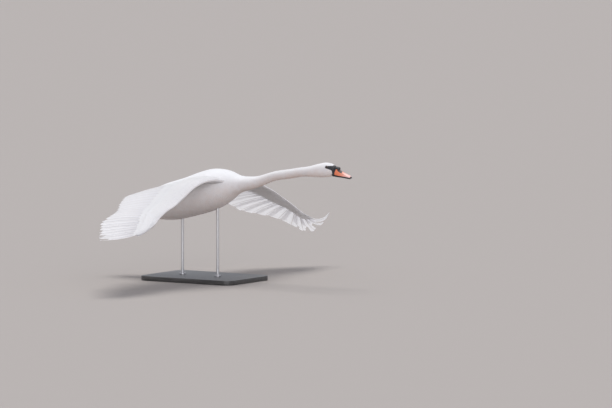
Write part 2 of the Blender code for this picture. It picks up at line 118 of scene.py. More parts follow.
# ---- numbers and curves
def curve(x: Number, xs: Sequence[float], ys: Sequence[float]) -> Array:
    """The smooth curve through points with rising xs, read at x: no overshoot, and level past both ends.

    Args:
        x: Where to read it.
        xs: The points' rising places.
        ys: Their values.

    Returns:
        The values at x.
    """
    xs, ys = np.asarray(xs, float), np.asarray(ys, float)
    step = np.diff(xs)
    slope = np.diff(ys) / step
    tangent = np.concatenate(([slope[0]], np.zeros(len(xs) - 2), [slope[-1]]))
    same = slope[:-1] * slope[1:] > 0
    left, right = 2 * step[1:] + step[:-1], step[1:] + 2 * step[:-1]
    safe = np.where(same[:, None], np.stack((slope[:-1], slope[1:]), 1), 1.0)
    tangent[1:-1] = np.where(same, (left + right) / (left / safe[:, 0] + right / safe[:, 1]), 0.0)
    x = np.clip(np.asarray(x, float), xs[0], xs[-1])
    k = np.clip(np.searchsorted(xs, x, side="right") - 1, 0, len(xs) - 2)
    t = (x - xs[k]) / step[k]
    return (
        ys[k] * (1 + 2 * t) * (1 - t) ** 2
        + ys[k + 1] * t * t * (3 - 2 * t)
        + step[k] * t * (1 - t) * (tangent[k] * (1 - t) - tangent[k + 1] * t)
    )


def blend(a: float, b: float, t: Number) -> Array:
    """Value between a and b, with t from 0 to 1."""
    return a + (b - a) * t


def ease(low: float, high: float, x: Number) -> Array:
    """Smooth step from 0 at low to 1 at high."""
    t = np.clip((np.asarray(x, float) - low) / (high - low), 0.0, 1.0)
    return t * t * (3 - 2 * t)


def unit(v: Array) -> Array:
    """The same vectors with length one."""
    return v / np.maximum(np.linalg.norm(v, axis=-1, keepdims=True), 1e-12)


def circle(count: int) -> Array:
    """Angles evenly round a full turn."""
    return np.linspace(0, TURN, count, endpoint=False)


def stack(*columns: Number) -> Array:
    """Numbers side by side along a new last axis."""
    return np.stack(np.broadcast_arrays(*columns), -1)


def to_frame(f: Number, s: Number, u: Number) -> Array:
    """Points of the frame from the bird's own axes."""
    return stack(f, s, u) + ORIGIN


def to_bird(points: Array) -> Array:
    """The bird's own f, s and u of some points of the frame."""
    return np.moveaxis(points - ORIGIN, -1, 0)


# ---- meshes and pieces
def new_piece(mesh: Mesh, name: str) -> Object:
    """Puts a mesh in the scene as an object of that name, at the origin.

    Args:
        mesh: The mesh.
        name: The piece's name.

    Returns:
        The object.
    """
    mesh.name = name
    made = bpy.data.objects.new(name, mesh)
    bpy.context.scene.collection.objects.link(made)
    return made


def dress(mesh: Mesh, name: str, finish: Material, slot: str, *replaced: str) -> Mesh:
    """Makes a mesh a finished piece in place of the solids it stands for.

    Args:
        mesh: The mesh.
        name: The piece's name.
        finish: Its material.
        slot: Not used.
        *replaced: The solids it stands for.

    Returns:
        The mesh.
    """
    piece = new_piece(mesh, name)
    if finish.name not in mesh.materials:
        mesh.materials.append(finish)
    mesh.shade_smooth()
    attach(piece, "root")
    if replaced:
        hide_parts(*replaced)
    LOG.info("%s: %d faces", name, len(mesh.polygons))
    return mesh


def evaluated(piece: Object) -> Mesh:
    """The mesh of an object after its modifiers."""
    graph = bpy.context.evaluated_depsgraph_get()
    return bpy.data.meshes.new_from_object(piece.evaluated_get(graph), depsgraph=graph)


def set_values(mesh: Mesh, name: str, values: Array) -> None:
    """Stores one number, or one vector, for each vertex under that name."""
    kind, key = ("FLOAT", "value") if values.ndim == 1 else ("FLOAT_VECTOR", "vector")
    mesh.attributes.new(name, kind, "POINT").data.foreach_set(key, values.astype(np.float32).ravel())


def set_map(mesh: Mesh, name: str, places: Array) -> None:
    """Makes a UV map that gives each vertex the same place in all its faces.

    Args:
        mesh: The mesh.
        name: The map's name.
        places: A place for each vertex.
    """
    layer = mesh.uv_layers.new(name=name, do_init=False)
    corners = np.zeros(len(mesh.loops), np.int32)
    mesh.loops.foreach_get("vertex_index", corners)
    layer.data.foreach_set("uv", places[corners].astype(np.float32).ravel())


def cloud(name: str, points: Array) -> Mesh:
    """A mesh of loose points.

    Args:
        name: The mesh's name.
        points: The points.

    Returns:
        The mesh.
    """
    made = bpy.data.meshes.new(name)
    made.vertices.add(len(points))
    made.vertices.foreach_set("co", points.astype(np.float32).ravel())
    return made


def vertex_points(mesh: Mesh) -> Array:
    """The mesh's vertices as rows of three numbers.

    Args:
        mesh: The mesh.

    Returns:
        One row a vertex.
    """
    found = np.zeros(len(mesh.vertices) * 3, np.float32)
    mesh.vertices.foreach_get("co", found)
    return found.reshape(-1, 3).astype(float)


@dataclass
class Grids:
    """Gathers sheets of points, each a grid of rows and columns, into one mesh."""

    parts: list[tuple[Array, ...]] = field(default_factory=list)
    size: int = 0
    feathers: int = 0
    cell_edge: float = 0.04

    def add(self, points: Array, v: Array, u: Array, tone: float, flip: bool = False) -> None:
        """Adds one grid with its places along (v) and across (u) a feather, and the feather's tone.

        Args:
            points: Rows of points.
            v: Share along the feather at each row.
            u: Place across it at each column, from -1 to 1.
            tone: The feather's tone, from 0 to 1.
            flip: Whether its faces are turned round.
        """
        rows, columns = points.shape[:2]
        count = rows * columns
        index = np.arange(count).reshape(rows, columns) + self.size
        quads = np.stack((index[:-1, :-1], index[:-1, 1:], index[1:, 1:], index[1:, :-1]), -1).reshape(-1, 4)
        self.parts.append((
            points.reshape(-1, 3), quads[:, ::-1] if flip else quads, stack(0.5 + 0.5 * u, v).reshape(-1, 2),
            np.full(count, tone), np.full(count, self.feathers),
        ))
        self.size += count

    def mesh(self, name: str) -> Mesh:
        """Builds the mesh, with a bake map in which each feather has a cell of its own.

        Args:
            name: The mesh's name.

        Returns:
            The mesh.
        """
        points, faces, vane, tone, owner = (np.concatenate(part) for part in zip(*self.parts))
        made = cloud(name, points)
        made.loops.add(faces.size)
        made.loops.foreach_set("vertex_index", faces.astype(np.int32).ravel())
        made.polygons.add(len(faces))
        made.polygons.foreach_set("loop_start", np.arange(0, faces.size, 4, dtype=np.int32))
        made.update(calc_edges=True)
        set_values(made, "tone", tone)
        set_map(made, "vane", vane)
        across = math.ceil(math.sqrt(self.feathers * 4))
        down = math.ceil(self.feathers / across)
        place = stack(owner % across, owner // across) + self.cell_edge + (1 - 2 * self.cell_edge) * vane
        set_map(made, "OFBake", place / (across, down))
        made.validate()
        return made


def tube(rings: Sequence[Array], closed: bool = False) -> Shape:
    """A tube through rings of as many points each, its ends capped, or joined when it is closed.

    Args:
        rings: The rings in order.
        closed: Whether the last ring joins the first.

    Returns:
        Its points and faces.
    """
    rows, count = len(rings), len(rings[0])
    faces = []
    for r in range(rows if closed else rows - 1):
        here, there = r * count, (r + 1) % rows * count
        for k in range(count):
            after = (k + 1) % count
            faces.append((here + k, here + after, there + after, there + k))
    if not closed:
        faces += [tuple(reversed(range(count))), tuple(range((rows - 1) * count, rows * count))]
    return [tuple(p) for ring in rings for p in ring], faces


def solid(name: str, *shapes: Shape) -> Mesh:
    """One mesh of closed shapes whose faces point outwards.

    Args:
        name: The mesh's name.
        *shapes: Points and faces of each shape.

    Returns:
        The mesh.
    """
    points, faces = [], []
    for more, sides in shapes:
        faces += [tuple(k + len(points) for k in side) for side in sides]
        points += more
    mesh = bpy.data.meshes.new(name)
    mesh.from_pydata(points, [], faces)
    work = bmesh.new()
    work.from_mesh(mesh)
    bmesh.ops.remove_doubles(work, verts=work.verts, dist=1e-6)
    bmesh.ops.recalc_face_normals(work, faces=work.faces)
    work.to_mesh(mesh)
    work.free()
    return mesh


# ---- nodes
@dataclass
class Wire:
    """A node's output, to which operators add Math nodes."""

    kit: NodeKit
    socket: bpy.types.NodeSocket

    def __add__(self, other: Value) -> Wire:
        """Sum."""
        return self.kit.maths("ADD", self, other)

    def __radd__(self, other: Value) -> Wire:
        """Sum with this wire second."""
        return self.kit.maths("ADD", other, self)

    def __sub__(self, other: Value) -> Wire:
        """Difference."""
        return self.kit.maths("SUBTRACT", self, other)

    def __rsub__(self, other: Value) -> Wire:
        """Difference with this wire second."""
        return self.kit.maths("SUBTRACT", other, self)

    def __mul__(self, other: Value) -> Wire:
        """Product."""
        return self.kit.maths("MULTIPLY", self, other)

    def __rmul__(self, other: Value) -> Wire:
        """Product with this wire second."""
        return self.kit.maths("MULTIPLY", other, self)

    def size(self) -> Wire:
        """Absolute value."""
        return self.kit.maths("ABSOLUTE", self)

    def wave(self) -> Wire:
        """Sine of the value in radians."""
        return self.kit.maths("SINE", self)

    def ease(self, low: float, high: float) -> Wire:
        """Smooth step from 0 at low to 1 at high."""
        values = {"Value": self, "From Min": low, "From Max": high}
        return self.kit.node("ShaderNodeMapRange", {"interpolation_type": "SMOOTHSTEP"}, values)


Value = float | tuple | Wire


class NodeKit:
    """A node tree while it is put together."""

    def __init__(self, tree: bpy.types.NodeTree) -> None:
        """Takes an empty tree."""
        self.tree = tree

    def node(
        self, kind: str, settings: dict | None = None, values: dict | None = None, out: int | str = 0,
    ) -> Wire:
        """Adds a node with those properties, sets or links its inputs, and gives one of its outputs.

        Args:
            kind: The node's type.
            settings: Its properties.
            values: A value or a link for each input.
            out: The output to give.

        Returns:
            That output.
        """
        made = self.tree.nodes.new(kind)
        for key, value in (settings or {}).items():
            setattr(made, key, value)
        for key, value in (values or {}).items():
            socket = made.inputs[key]
            if isinstance(value, Wire):
                self.tree.links.new(value.socket, socket)
            elif socket.type == "RGBA":
                socket.default_value = (*value, 1.0)
            else:
                socket.default_value = value
        return Wire(self, made.outputs[out])

    def maths(self, operation: str, a: Value, b: Value = 0.0) -> Wire:
        """The result of one Math node."""
        return self.node("ShaderNodeMath", {"operation": operation}, {0: a, 1: b})

    def vector(self, operation: str, a: Wire, b: Value) -> Wire:
        """The result of one Vector Math node, whose scale is a plain number."""
        second = "Scale" if operation == "SCALE" else 1
        return self.node("ShaderNodeVectorMath", {"operation": operation}, {0: a, second: b})

    def end(self, kind: str, name: str, wire: Wire) -> None:
        """Adds the tree's output node."""
        self.tree.links.new(wire.socket, self.tree.nodes.new(kind).inputs[name])


class Shade(NodeKit):
    """A material's nodes while they are put together."""

    def __init__(self, name: str) -> None:
        """Starts an empty material of that name.

        Args:
            name: The material's name.
        """
        self.material = bpy.data.materials.new(name)
        self.material.use_nodes = True
        super().__init__(self.material.node_tree)
        self.tree.nodes.clear()

    def place(self, *scale: float) -> Wire:
        """The place on the object, in metres times scale."""
        place = self.node("ShaderNodeTexCoord", out="Object")
        return self.node("ShaderNodeMapping", {}, {"Vector": place, "Scale": scale or (1.0, 1.0, 1.0)})

    def stored(self, name: str) -> Wire:
        """A number stored on the mesh."""
        return self.node("ShaderNodeAttribute", {"attribute_name": name}, out="Fac")

    def noise(self, place: Wire, scale: float, detail: float = 3.0) -> Wire:
        """Soft noise from 0 to 1."""
        return self.node("ShaderNodeTexNoise", {}, {"Vector": place, "Scale": scale, "Detail": detail})

    def mix(self, share: Value, a: Value, b: Value) -> Wire:
        """Colour a turning to colour b as share goes from 0 to 1."""
        return self.node("ShaderNodeMix", {"data_type": "RGBA"}, {"Factor": share, 6: a, 7: b}, out=2)

    def bump(self, height: Wire, distance: float) -> Wire:
        """The normal over a surface of that height, with distance for its full depth in metres."""
        return self.node("ShaderNodeBump", {}, {"Height": height, "Distance": distance, "Strength": 1.0})

    def close(self, glow: float = 0.0, **values: Value) -> Material:
        """Ends the material with the main shader, and with glow as the share of light it lets through.

        Args:
            glow: Share of light let through.
            **values: The shader's inputs, with _ for each space.

        Returns:
            The material.
        """
        named = {key.replace("_", " "): value for key, value in values.items()}
        surface = self.node("ShaderNodeBsdfPrincipled", {}, named)
        if glow:
            through = {"Color": named["Base Color"], "Normal": named["Normal"]}
            through = self.node("ShaderNodeBsdfTranslucent", {}, through)
            surface = self.node("ShaderNodeMixShader", {}, {0: glow, 1: surface, 2: through})
        self.end("ShaderNodeOutputMaterial", "Surface", surface)
        return self.material


# ---- finishes
@dataclass(frozen=True)
class Plumage:
    """White feather vanes: barbs along each vane with painted shade in their grooves and towards each
    feather's base, where its neighbours cover it, a shaft where it has a width, and a warm tint that is the
    neck's real stain and painted shade under the body.
    """

    name: str
    colour: Colour
    barbs: float
    slope: float = 26.0
    depth: float = 0.00012
    shaft_width: float = 0.0
    glow: float = 0.0
    groove: float = 0.05
    uneven: float = 0.45
    lighter: float = 0.06
    shaft_share: float = 0.8

    def material(self) -> Material:
        """Makes the finish.

        Returns:
            The material.
        """
        shade = Shade(self.name)
        vane = shade.node("ShaderNodeUVMap", {"uv_map": "vane"})
        across, along = (shade.node("ShaderNodeSeparateXYZ", {}, {0: vane}, k) for k in range(2))
        across = (across - 0.5).size()
        ripple = ((along * self.barbs - across * self.slope) * TURN).wave() * 0.5 + 0.5
        mottle = shade.noise(shade.place(), 35.0)
        # painted shade: lavender grey towards the base, which shows only between overlapping feathers, and in
        # the grooves between the barbs
        pale = shade.mix(along.ease(0.0, 0.75), Tint.FEATHER_ROOT, self.colour)
        pale = shade.mix((1.0 - ripple) * self.groove, pale, Tint.FEATHER_ROOT)
        # the warm tint: real stain on the neck, and painted shade under the body and the neck
        stain_and_shade_share = shade.stored("stain") * (mottle.ease(0.15, 0.75) * self.uneven + (1 - self.uneven))
        pale = shade.mix(stain_and_shade_share, pale, Tint.WARM_CAST)
        pale = shade.mix(shade.stored("tone") * self.lighter, pale, Tint.WHITE)
        if self.shaft_width:
            shaft = 1.0 - across.ease(self.shaft_width * 0.6, self.shaft_width)
            pale = shade.mix(shaft * self.shaft_share, pale, Tint.SHAFT)
        return shade.close(
            self.glow, Base_Color=pale, Roughness=0.72, Normal=shade.bump(ripple + mottle * 0.3, self.depth),
            Specular_IOR_Level=0.25, Sheen_Weight=0.12,
        )


@dataclass(frozen=True)
class SwanHide:
    """Pale skin under the feathers, and bare black skin before the eyes."""

    blur: float = 0.0004

    def material(self) -> Material:
        """Makes the finish.

        Returns:
            The material.
        """
        shade = Shade("swan_skin")
        bare = 1.0 - shade.stored("bare_edge").ease(-self.blur, self.blur)
        pores = shade.node("ShaderNodeTexVoronoi", {}, {"Vector": shade.place(), "Scale": 1400.0})
        fold = shade.noise(shade.place(1.0, 1.0, 2.6), 420.0)
        black = shade.mix(fold, Tint.BARE_SKIN, Tint.BARE_FOLD)
        return shade.close(
            Base_Color=shade.mix(bare, Tint.SKIN, black), Roughness=0.62 - bare * 0.12,
            Normal=shade.bump(pores * 0.6 + fold, 0.00025), Specular_IOR_Level=0.4,
        )


@dataclass(frozen=True)
class BillHorn:
    """Orange horn that turns pale pink towards the tip, a painted highlight, with its black base, edges,
    nostrils and a nail cut back to the very tip.
    """

    blur: float = 0.0005

    def material(self) -> Material:
        """Makes the finish.

        Returns:
            The material.
        """
        shade = Shade("bill_horn")
        black = 1.0 - shade.stored("black_edge").ease(-self.blur, self.blur)
        grain = shade.noise(shade.place(0.35, 1.0, 1.0), 620.0, 5.0)
        blotch = shade.noise(shade.place(), 70.0)
        # painted highlight: the horn pales to pink towards the tip
        orange = shade.mix(shade.stored("tipward").ease(0.15, 0.95), Tint.ORANGE, Tint.BILL_TIP)
        orange = shade.mix(blotch.ease(0.35, 0.75) * 0.35, orange, Tint.BILL_RED)
        orange = shade.mix(grain.ease(0.5, 0.8) * 0.25, orange, Tint.BILL_PINK)
        dark = shade.mix(grain, Tint.BILL_BLACK, Tint.BILL_GREY)
        return shade.close(
            Base_Color=shade.mix(black, orange, dark), Roughness=0.30 + grain * 0.2,
            Normal=shade.bump(grain, 0.00012), Specular_IOR_Level=0.5, Coat_Weight=0.15, Coat_Roughness=0.25,
        )


@dataclass(frozen=True)
class EyeGlaze:
    """Dark brown iris with a black pupil under a clear cornea."""

    pupil: float = 0.46
    blur: float = 0.05

    def material(self) -> Material:
        """Makes the finish.

        Returns:
            The material.
        """
        shade = Shade("swan_eye")
        reach = shade.stored("reach")
        iris = shade.mix(shade.noise(shade.place(), 1500.0), Tint.IRIS, Tint.IRIS_RAY)
        iris = shade.mix(reach.ease(0.80, 0.98), iris, Tint.IRIS_RIM)
        colour = shade.mix(reach.ease(self.pupil - self.blur, self.pupil + self.blur), Tint.PUPIL, iris)
        return shade.close(Base_Color=colour, Roughness=0.12, Coat_Weight=1.0, Coat_Roughness=0.02, IOR=1.38)


@dataclass(frozen=True)
class Leather:
    """Dark scaly skin of the legs and webs, and the horn of the claws."""

    name: str
    scales: float
    roughness: float

    def material(self) -> Material:
        """Makes the finish.

        Returns:
            The material.
        """
        shade = Shade(self.name)
        values = {"Vector": shade.place(), "Scale": self.scales}
        plate = shade.node("ShaderNodeTexVoronoi", {"feature": "DISTANCE_TO_EDGE"}, values).ease(0.0, 0.16)
        worn = shade.noise(shade.place(), 160.0).ease(0.3, 0.8)
        return shade.close(
            Base_Color=shade.mix(plate * worn, Tint.LEATHER, Tint.LEATHER_WORN),
            Roughness=self.roughness - plate * 0.12, Normal=shade.bump(plate, 0.00035),
        )


@dataclass(frozen=True)
class StainedWood:
    """Black-stained wood under a satin lacquer, its grain running along the base."""

    def material(self) -> Material:
        """Makes the finish.

        Returns:
            The material.
        """
        shade = Shade("stained_wood")
        grain = shade.noise(shade.place(1.0, 18.0, 18.0), 9.0, 6.0)
        pores = shade.noise(shade.place(6.0, 160.0, 60.0), 6.0, 2.0)
        return shade.close(
            Base_Color=shade.mix(grain.ease(0.35, 0.7), Tint.WOOD, Tint.WOOD_GRAIN),
            Roughness=0.34 + grain * 0.16, Normal=shade.bump(grain + pores.ease(0.55, 0.7) * -0.6, 0.00025),
            Coat_Weight=0.25, Coat_Roughness=0.3,
        )


@dataclass(frozen=True)
class BrushedSteel:
    """Steel brushed round the rod."""

    def material(self) -> Material:
        """Makes the finish.

        Returns:
            The material.
        """
        shade = Shade("brushed_steel")
        brush = shade.noise(shade.place(1.0, 1.0, 60.0), 60.0, 4.0)
        return shade.close(
            Base_Color=shade.mix(brush, Tint.STEEL, Tint.STEEL_LIGHT), Metallic=1.0,
            Roughness=0.22 + brush * 0.2, Normal=shade.bump(brush, 0.00003),
        )


# ---- the body's form
@dataclass
class Line:
    """Stations with f and u as their first two columns, read by the distance along them."""

    stations: Table = ()

    def __post_init__(self) -> None:
        """Works out how far along the line each station lies."""
        self.table = np.array(self.stations)
        steps = np.hypot(np.diff(self.table[:, 0]), np.diff(self.table[:, 1]))
        self.reach = np.concatenate(([0.0], np.cumsum(steps)))

    def read(self, column: int, d: Number) -> Array:
        """One column of the stations at that distance."""
        return curve(d, self.reach, self.table[:, column])


@dataclass
class BodyForm(Line):
    """The body, neck and head as rings along a spine, with the small forms of the face."""

    # f, u, half height and half width at each station from the rump to the base of the bill
    stations: Table = (
        (-0.470, -0.1255, 0.0060, 0.0200), (-0.440, -0.1135, 0.0200, 0.0420),
        (-0.405, -0.101, 0.038, 0.064), (-0.360, -0.0925, 0.060, 0.083),
        (-0.310, -0.079, 0.075, 0.098), (-0.222, -0.060, 0.090, 0.114),
        (-0.136, -0.0375, 0.0925, 0.122), (-0.060, -0.0135, 0.0955, 0.126),
        (0.0045, 0.0097, 0.0920, 0.122), (0.0489, 0.0215, 0.0810, 0.106),
        (0.0877, 0.0290, 0.0660, 0.084), (0.1200, 0.0325, 0.0500, 0.062),
        (0.1510, 0.0353, 0.0385, 0.046), (0.2025, 0.0426, 0.0305, 0.035),
        (0.2450, 0.0512, 0.0256, 0.0285), (0.3085, 0.0725, 0.0222, 0.0240),
        (0.3510, 0.0848, 0.0214, 0.0225), (0.4180, 0.0950, 0.0218, 0.0220),
        (0.4930, 0.1080, 0.0216, 0.0220), (0.5400, 0.1128, 0.0250, 0.0240),
        (0.5690, 0.1164, 0.0295, 0.0275), (0.5970, 0.1200, 0.0325, 0.0296),
        (0.6260, 0.1238, 0.0342, 0.0302), (0.6470, 0.1240, 0.0318, 0.0286),
        (0.6630, 0.1218, 0.0272, 0.0250), (0.6730, 0.1195, 0.0235, 0.0222),
    )
    # how deep the skin lies under the outer surface of the coat, against f
    depth_f: Sizes = (-0.47, -0.405, 0.09, 0.15, 0.30, 0.52, 0.60, 0.650, 0.673)
    depth: Sizes = (0.003, 0.0065, 0.0060, 0.0040, 0.0028, 0.0022, 0.0014, 0.0008, 0.0006)
    # small forms of the face: f, u, reach and rise of each, on both sides
    face_forms: Table = (
        (0.6480, 0.1490, 0.0075, 0.0013), (0.6080, 0.1080, 0.0180, 0.0016),
        (0.6600, 0.1300, 0.0085, -0.0012), (0.6425, 0.1385, 0.0075, 0.0006),
        (0.6450, 0.1050, 0.0100, 0.0008),
    )
    # where the feathers of the face end, as f against u
    bare_u: Sizes = (0.090, 0.1225, 0.1245, 0.1335, 0.1350, 0.1420, 0.1440, 0.1450, 0.160)
    bare_f: Sizes = (0.671, 0.6700, 0.6680, 0.6410, 0.6365, 0.6365, 0.6450, 0.6680, 0.670)
    facing_step: float = 0.006
    # the warm tint of the belly, neck and throat, which is painted shade under the body and under the neck
    # and real stain along the neck, the f over which the neck takes it on and the cheek loses part of it, and
    # the margin and the spread of the skin in its half of the bake map
    belly_cast: float = 0.62
    neck_cast: float = 0.08
    throat_cast: float = 0.30
    cheek_share: float = 0.55
    neck_f: Sizes = (0.08, 0.30)
    cheek_f: Sizes = (0.60, 0.64)
    map_edge: float = 0.02
    map_width: float = 0.46
    map_height: float = 0.96

    def distance(self, f: float) -> float:
        """The distance along the spine at which it passes f."""
        return float(np.interp(f, self.table[:, 0], self.reach))

    def at(self, d: Number, angle: Number, out: Number = 0.0) -> Array:
        """Points out from the coat's surface, with angle from the left side up over the back.

        Args:
            d: Distance along the spine.
            angle: Angle round the spine.
            out: Height over the coat.

        Returns:
            The points.
        """
        d, angle = np.broadcast_arrays(np.asarray(d, float), np.asarray(angle, float))
        ahead = [self.read(k, d + self.facing_step) - self.read(k, d - self.facing_step) for k in range(2)]
        facing = unit(stack(ahead[0], 0.0, ahead[1]))
        up = stack(-facing[..., 2], 0.0, facing[..., 0])
        centre = to_frame(self.read(0, d), 0.0, self.read(1, d))
        plain = centre + up * (self.read(2, d) * np.sin(angle))[..., None]
        plain = plain + LEFT * (self.read(3, d) * np.cos(angle))[..., None]
        f, _, u = to_bird(plain)
        rise = np.asarray(out, float) + np.zeros_like(d)
        for form_f, form_u, reach, height in self.face_forms:
            rise = rise + height * np.exp(-((f - form_f) ** 2 + (u - form_u) ** 2) / (2 * (reach / 2) ** 2))
        return plain + unit(plain - centre) * rise[..., None]

    def skin_depth(self, d: Number) -> Array:
        """How deep the skin lies at d."""
        return curve(self.read(0, d), self.depth_f, self.depth)

    def bare_edge(self, points: Array) -> Array:
        """How far behind the edge of the bare face some points lie, in metres, negative inside it."""
        f, _, u = to_bird(points)
        return np.interp(u, self.bare_u, self.bare_f) - f

    def stain(self, points: Array, angle: Array) -> Array:
        """How much warm tint the plumage has: painted shade, most under the body and the neck and least on
        the back, and the neck's real stain.

        Args:
            points: The points.
            angle: Their angles round the spine.

        Returns:
            The tint's share, from 0 to 1.
        """
        f = to_bird(points)[0]
        low = 0.5 - 0.5 * np.sin(angle)
        neck = ease(*self.neck_f, f) * (1.0 - self.cheek_share * ease(*self.cheek_f, f))
        # painted shade grows towards the underside with low; the neck also keeps its real stain
        cast = self.belly_cast * low**1.3 + neck * (self.neck_cast + self.throat_cast * low)
        return np.clip(cast, 0.0, 1.0)

    def unwrap(self, d: Array, angle: Array) -> Array:
        """Where a place on the body lies on its own unrolled skin, in the map's left half."""
        turn, edge = (angle / TURN + 0.25) % 1.0, self.map_edge
        return stack(edge + self.map_width * turn, edge + self.map_height * d / self.reach[-1])


# ---- wings and tail as sheets
@dataclass
class WingSheet:
    """One wing as a sheet from its leading to its trailing edge: q counts flight feathers outwards."""

    side: Side
    secondaries: int = 20
    primaries: int = 10
    feathers: int = secondaries + primaries
    wrist: float = 0.50
    inner: Sizes = (0.03, 0.045)
    # along each edge: span, f, and the height on the right and on the left
    lead: Array = field(default_factory=lambda: np.array((
        (0.03, 0.045, 0.060, 0.075, 0.09, 0.13, 0.17, 0.21, 0.26, 0.33, 0.40, 0.46, 0.50, 0.58, 0.64, 0.70),
        (0.160, 0.138, 0.113, 0.100, 0.0945, 0.0905, 0.086, 0.073,
         0.0625, 0.051, 0.044, 0.037, 0.0365, 0.0505, 0.0605, 0.0615),
        (0.042, 0.044, 0.047, 0.050, 0.053, 0.058, 0.058, 0.050,
         0.032, -0.008, -0.045, -0.067, -0.085, -0.120, -0.134, -0.152),
        (0.036, 0.036, 0.037, 0.038, 0.039, 0.041, 0.041, 0.037,
         0.028, 0.003, -0.020, -0.040, -0.058, -0.104, -0.142, -0.173),
    )))
    trail: Array = field(default_factory=lambda: np.array((
        (0.045, 0.10, 0.15, 0.20, 0.25, 0.30, 0.36, 0.42, 0.50, 0.60, 0.70, 0.80, 0.85, 0.90, 0.95, 0.985),
        (-0.235, -0.280, -0.315, -0.342, -0.344, -0.329, -0.308, -0.282,
         -0.266, -0.240, -0.178, -0.113, -0.080, -0.047, -0.013, 0.016),
        (-0.012, -0.004, -0.014, -0.024, -0.030, -0.040, -0.062, -0.085,
         -0.101, -0.119, -0.132, -0.1435, -0.150, -0.154, -0.157, -0.164),
        (-0.012, -0.002, -0.010, -0.017, -0.024, -0.034, -0.052, -0.074,
         -0.110, -0.156, -0.180, -0.219, -0.256, -0.266, -0.234, -0.166),
    )))
    # the span of each primary's line at the leading and at the trailing edge
    hand: Table = (
        (0.50, 0.52, 0.54, 0.56, 0.58, 0.60, 0.615, 0.63, 0.645, 0.66, 0.67),
        (0.50, 0.559, 0.6165, 0.6735, 0.730, 0.7865, 0.842, 0.893, 0.939, 0.9665, 0.985),
    )
    arm_camber: float = 0.020
    hand_camber: float = 0.010
    hand_bow: float = 0.010
    hand_sag: dict[Side, float] = field(default_factory=lambda: {Side.RIGHT: 0.012, Side.LEFT: 0.036})
    # full thickness of the flesh against q
    thick_q: Sizes = (0.0, 7.0, 14.0, 20.0, 25.0, 30.0)
    thick: Sizes = (0.046, 0.038, 0.030, 0.022, 0.016, 0.007)
    # the share of it against the root of t, so that the leading edge is round
    nose: Sizes = (0.0, 0.10, 0.175, 0.346, 0.50, 0.62, 0.74, 0.85, 1.0)
    section: Sizes = (0.0, 0.26, 0.42, 0.80, 0.88, 0.50, 0.10, 0.05, 0.03)
    nose_turn: float = 0.12
    # the middle row, half height, start and width of each wing's skin in the bake map
    map_row: dict[Side, float] = field(default_factory=lambda: {Side.RIGHT: 0.25, Side.LEFT: 0.75})
    map_height: float = 0.23
    map_start: float = 0.52
    map_width: float = 0.46

    def edges(self, q: Array) -> list[Array]:
        """The spans at which the line of feather q leaves the leading edge and meets the trailing one.

        Args:
            q: Feathers outwards along the wing.

        Returns:
            The two spans.
        """
        share = np.clip(q / self.secondaries, 0.0, 1.0)
        beyond, lines = np.clip(q - self.secondaries, 0.0, self.primaries), range(self.primaries + 1)
        return [
            np.where(q <= self.secondaries, blend(inner, self.wrist, share), curve(beyond, lines, hand))
            for inner, hand in zip(self.inner, self.hand)
        ]

    def at(self, q: Number, t: Number) -> Array:
        """Points of the middle sheet, with t from 0 at the leading edge to 1 at the trailing edge.

        Args:
            q: Feathers outwards along the wing.
            t: Share from leading to trailing edge.

        Returns:
            The points.
        """
        q, t = np.broadcast_arrays(np.asarray(q, float), np.asarray(t, float))
        spans = self.edges(q)
        f, u = (
            blend(*(curve(span, edge[0], edge[row]) for span, edge in zip(spans, (self.lead, self.trail))), t)
            for row in (1, 2 if self.side < 0 else 3)
        )
        hump = 4 * t * (1 - t)
        outward = np.clip((q - self.secondaries) / self.primaries, 0.0, 1.0) ** 2
        arm = self.arm_camber * (1 - 0.5 * np.clip(q / self.secondaries, 0.0, 1.0))
        hand = blend(self.hand_camber, -self.hand_sag[self.side], outward)
        f = f + self.hand_bow * hump * outward
        u = u + hump * np.where(q <= self.secondaries, arm, hand)
        return to_frame(f, self.side * blend(*spans, t), u)

    def half(self, q: Number, t: Number) -> Array:
        """Half the thickness of the flesh and its small coverts there."""
        section = curve(np.sqrt(np.clip(t, 0.0, 1.0)), self.nose, self.section)
        return curve(q, self.thick_q, self.thick) * section / 2

    def skin(self, q: Array, turn: Array, out: float = 0.0) -> Array:
        """Points of the wing's outer surface, with turn negative underneath, 0 at the nose and 1 behind.

        Args:
            q: Feathers outwards along the wing.
            turn: Place round the section.
            out: Height over the flesh.

        Returns:
            The points.
        """
        flat = np.minimum(1.0, np.abs(turn) / self.nose_turn)
        moved = self.at(q, turn**2) + UP * (np.sign(turn) * (self.half(q, turn**2) + out * flat))[..., None]
        moved[..., 0] += out * (1 - flat)
        return moved

    def unwrap(self, q: Array, turn: Array) -> Array:
        """Where a place on the wing lies on its own unrolled skin, in the map's right half."""
        across = self.map_start + self.map_width * q / self.feathers
        return stack(across, self.map_row[self.side] + self.map_height * turn)


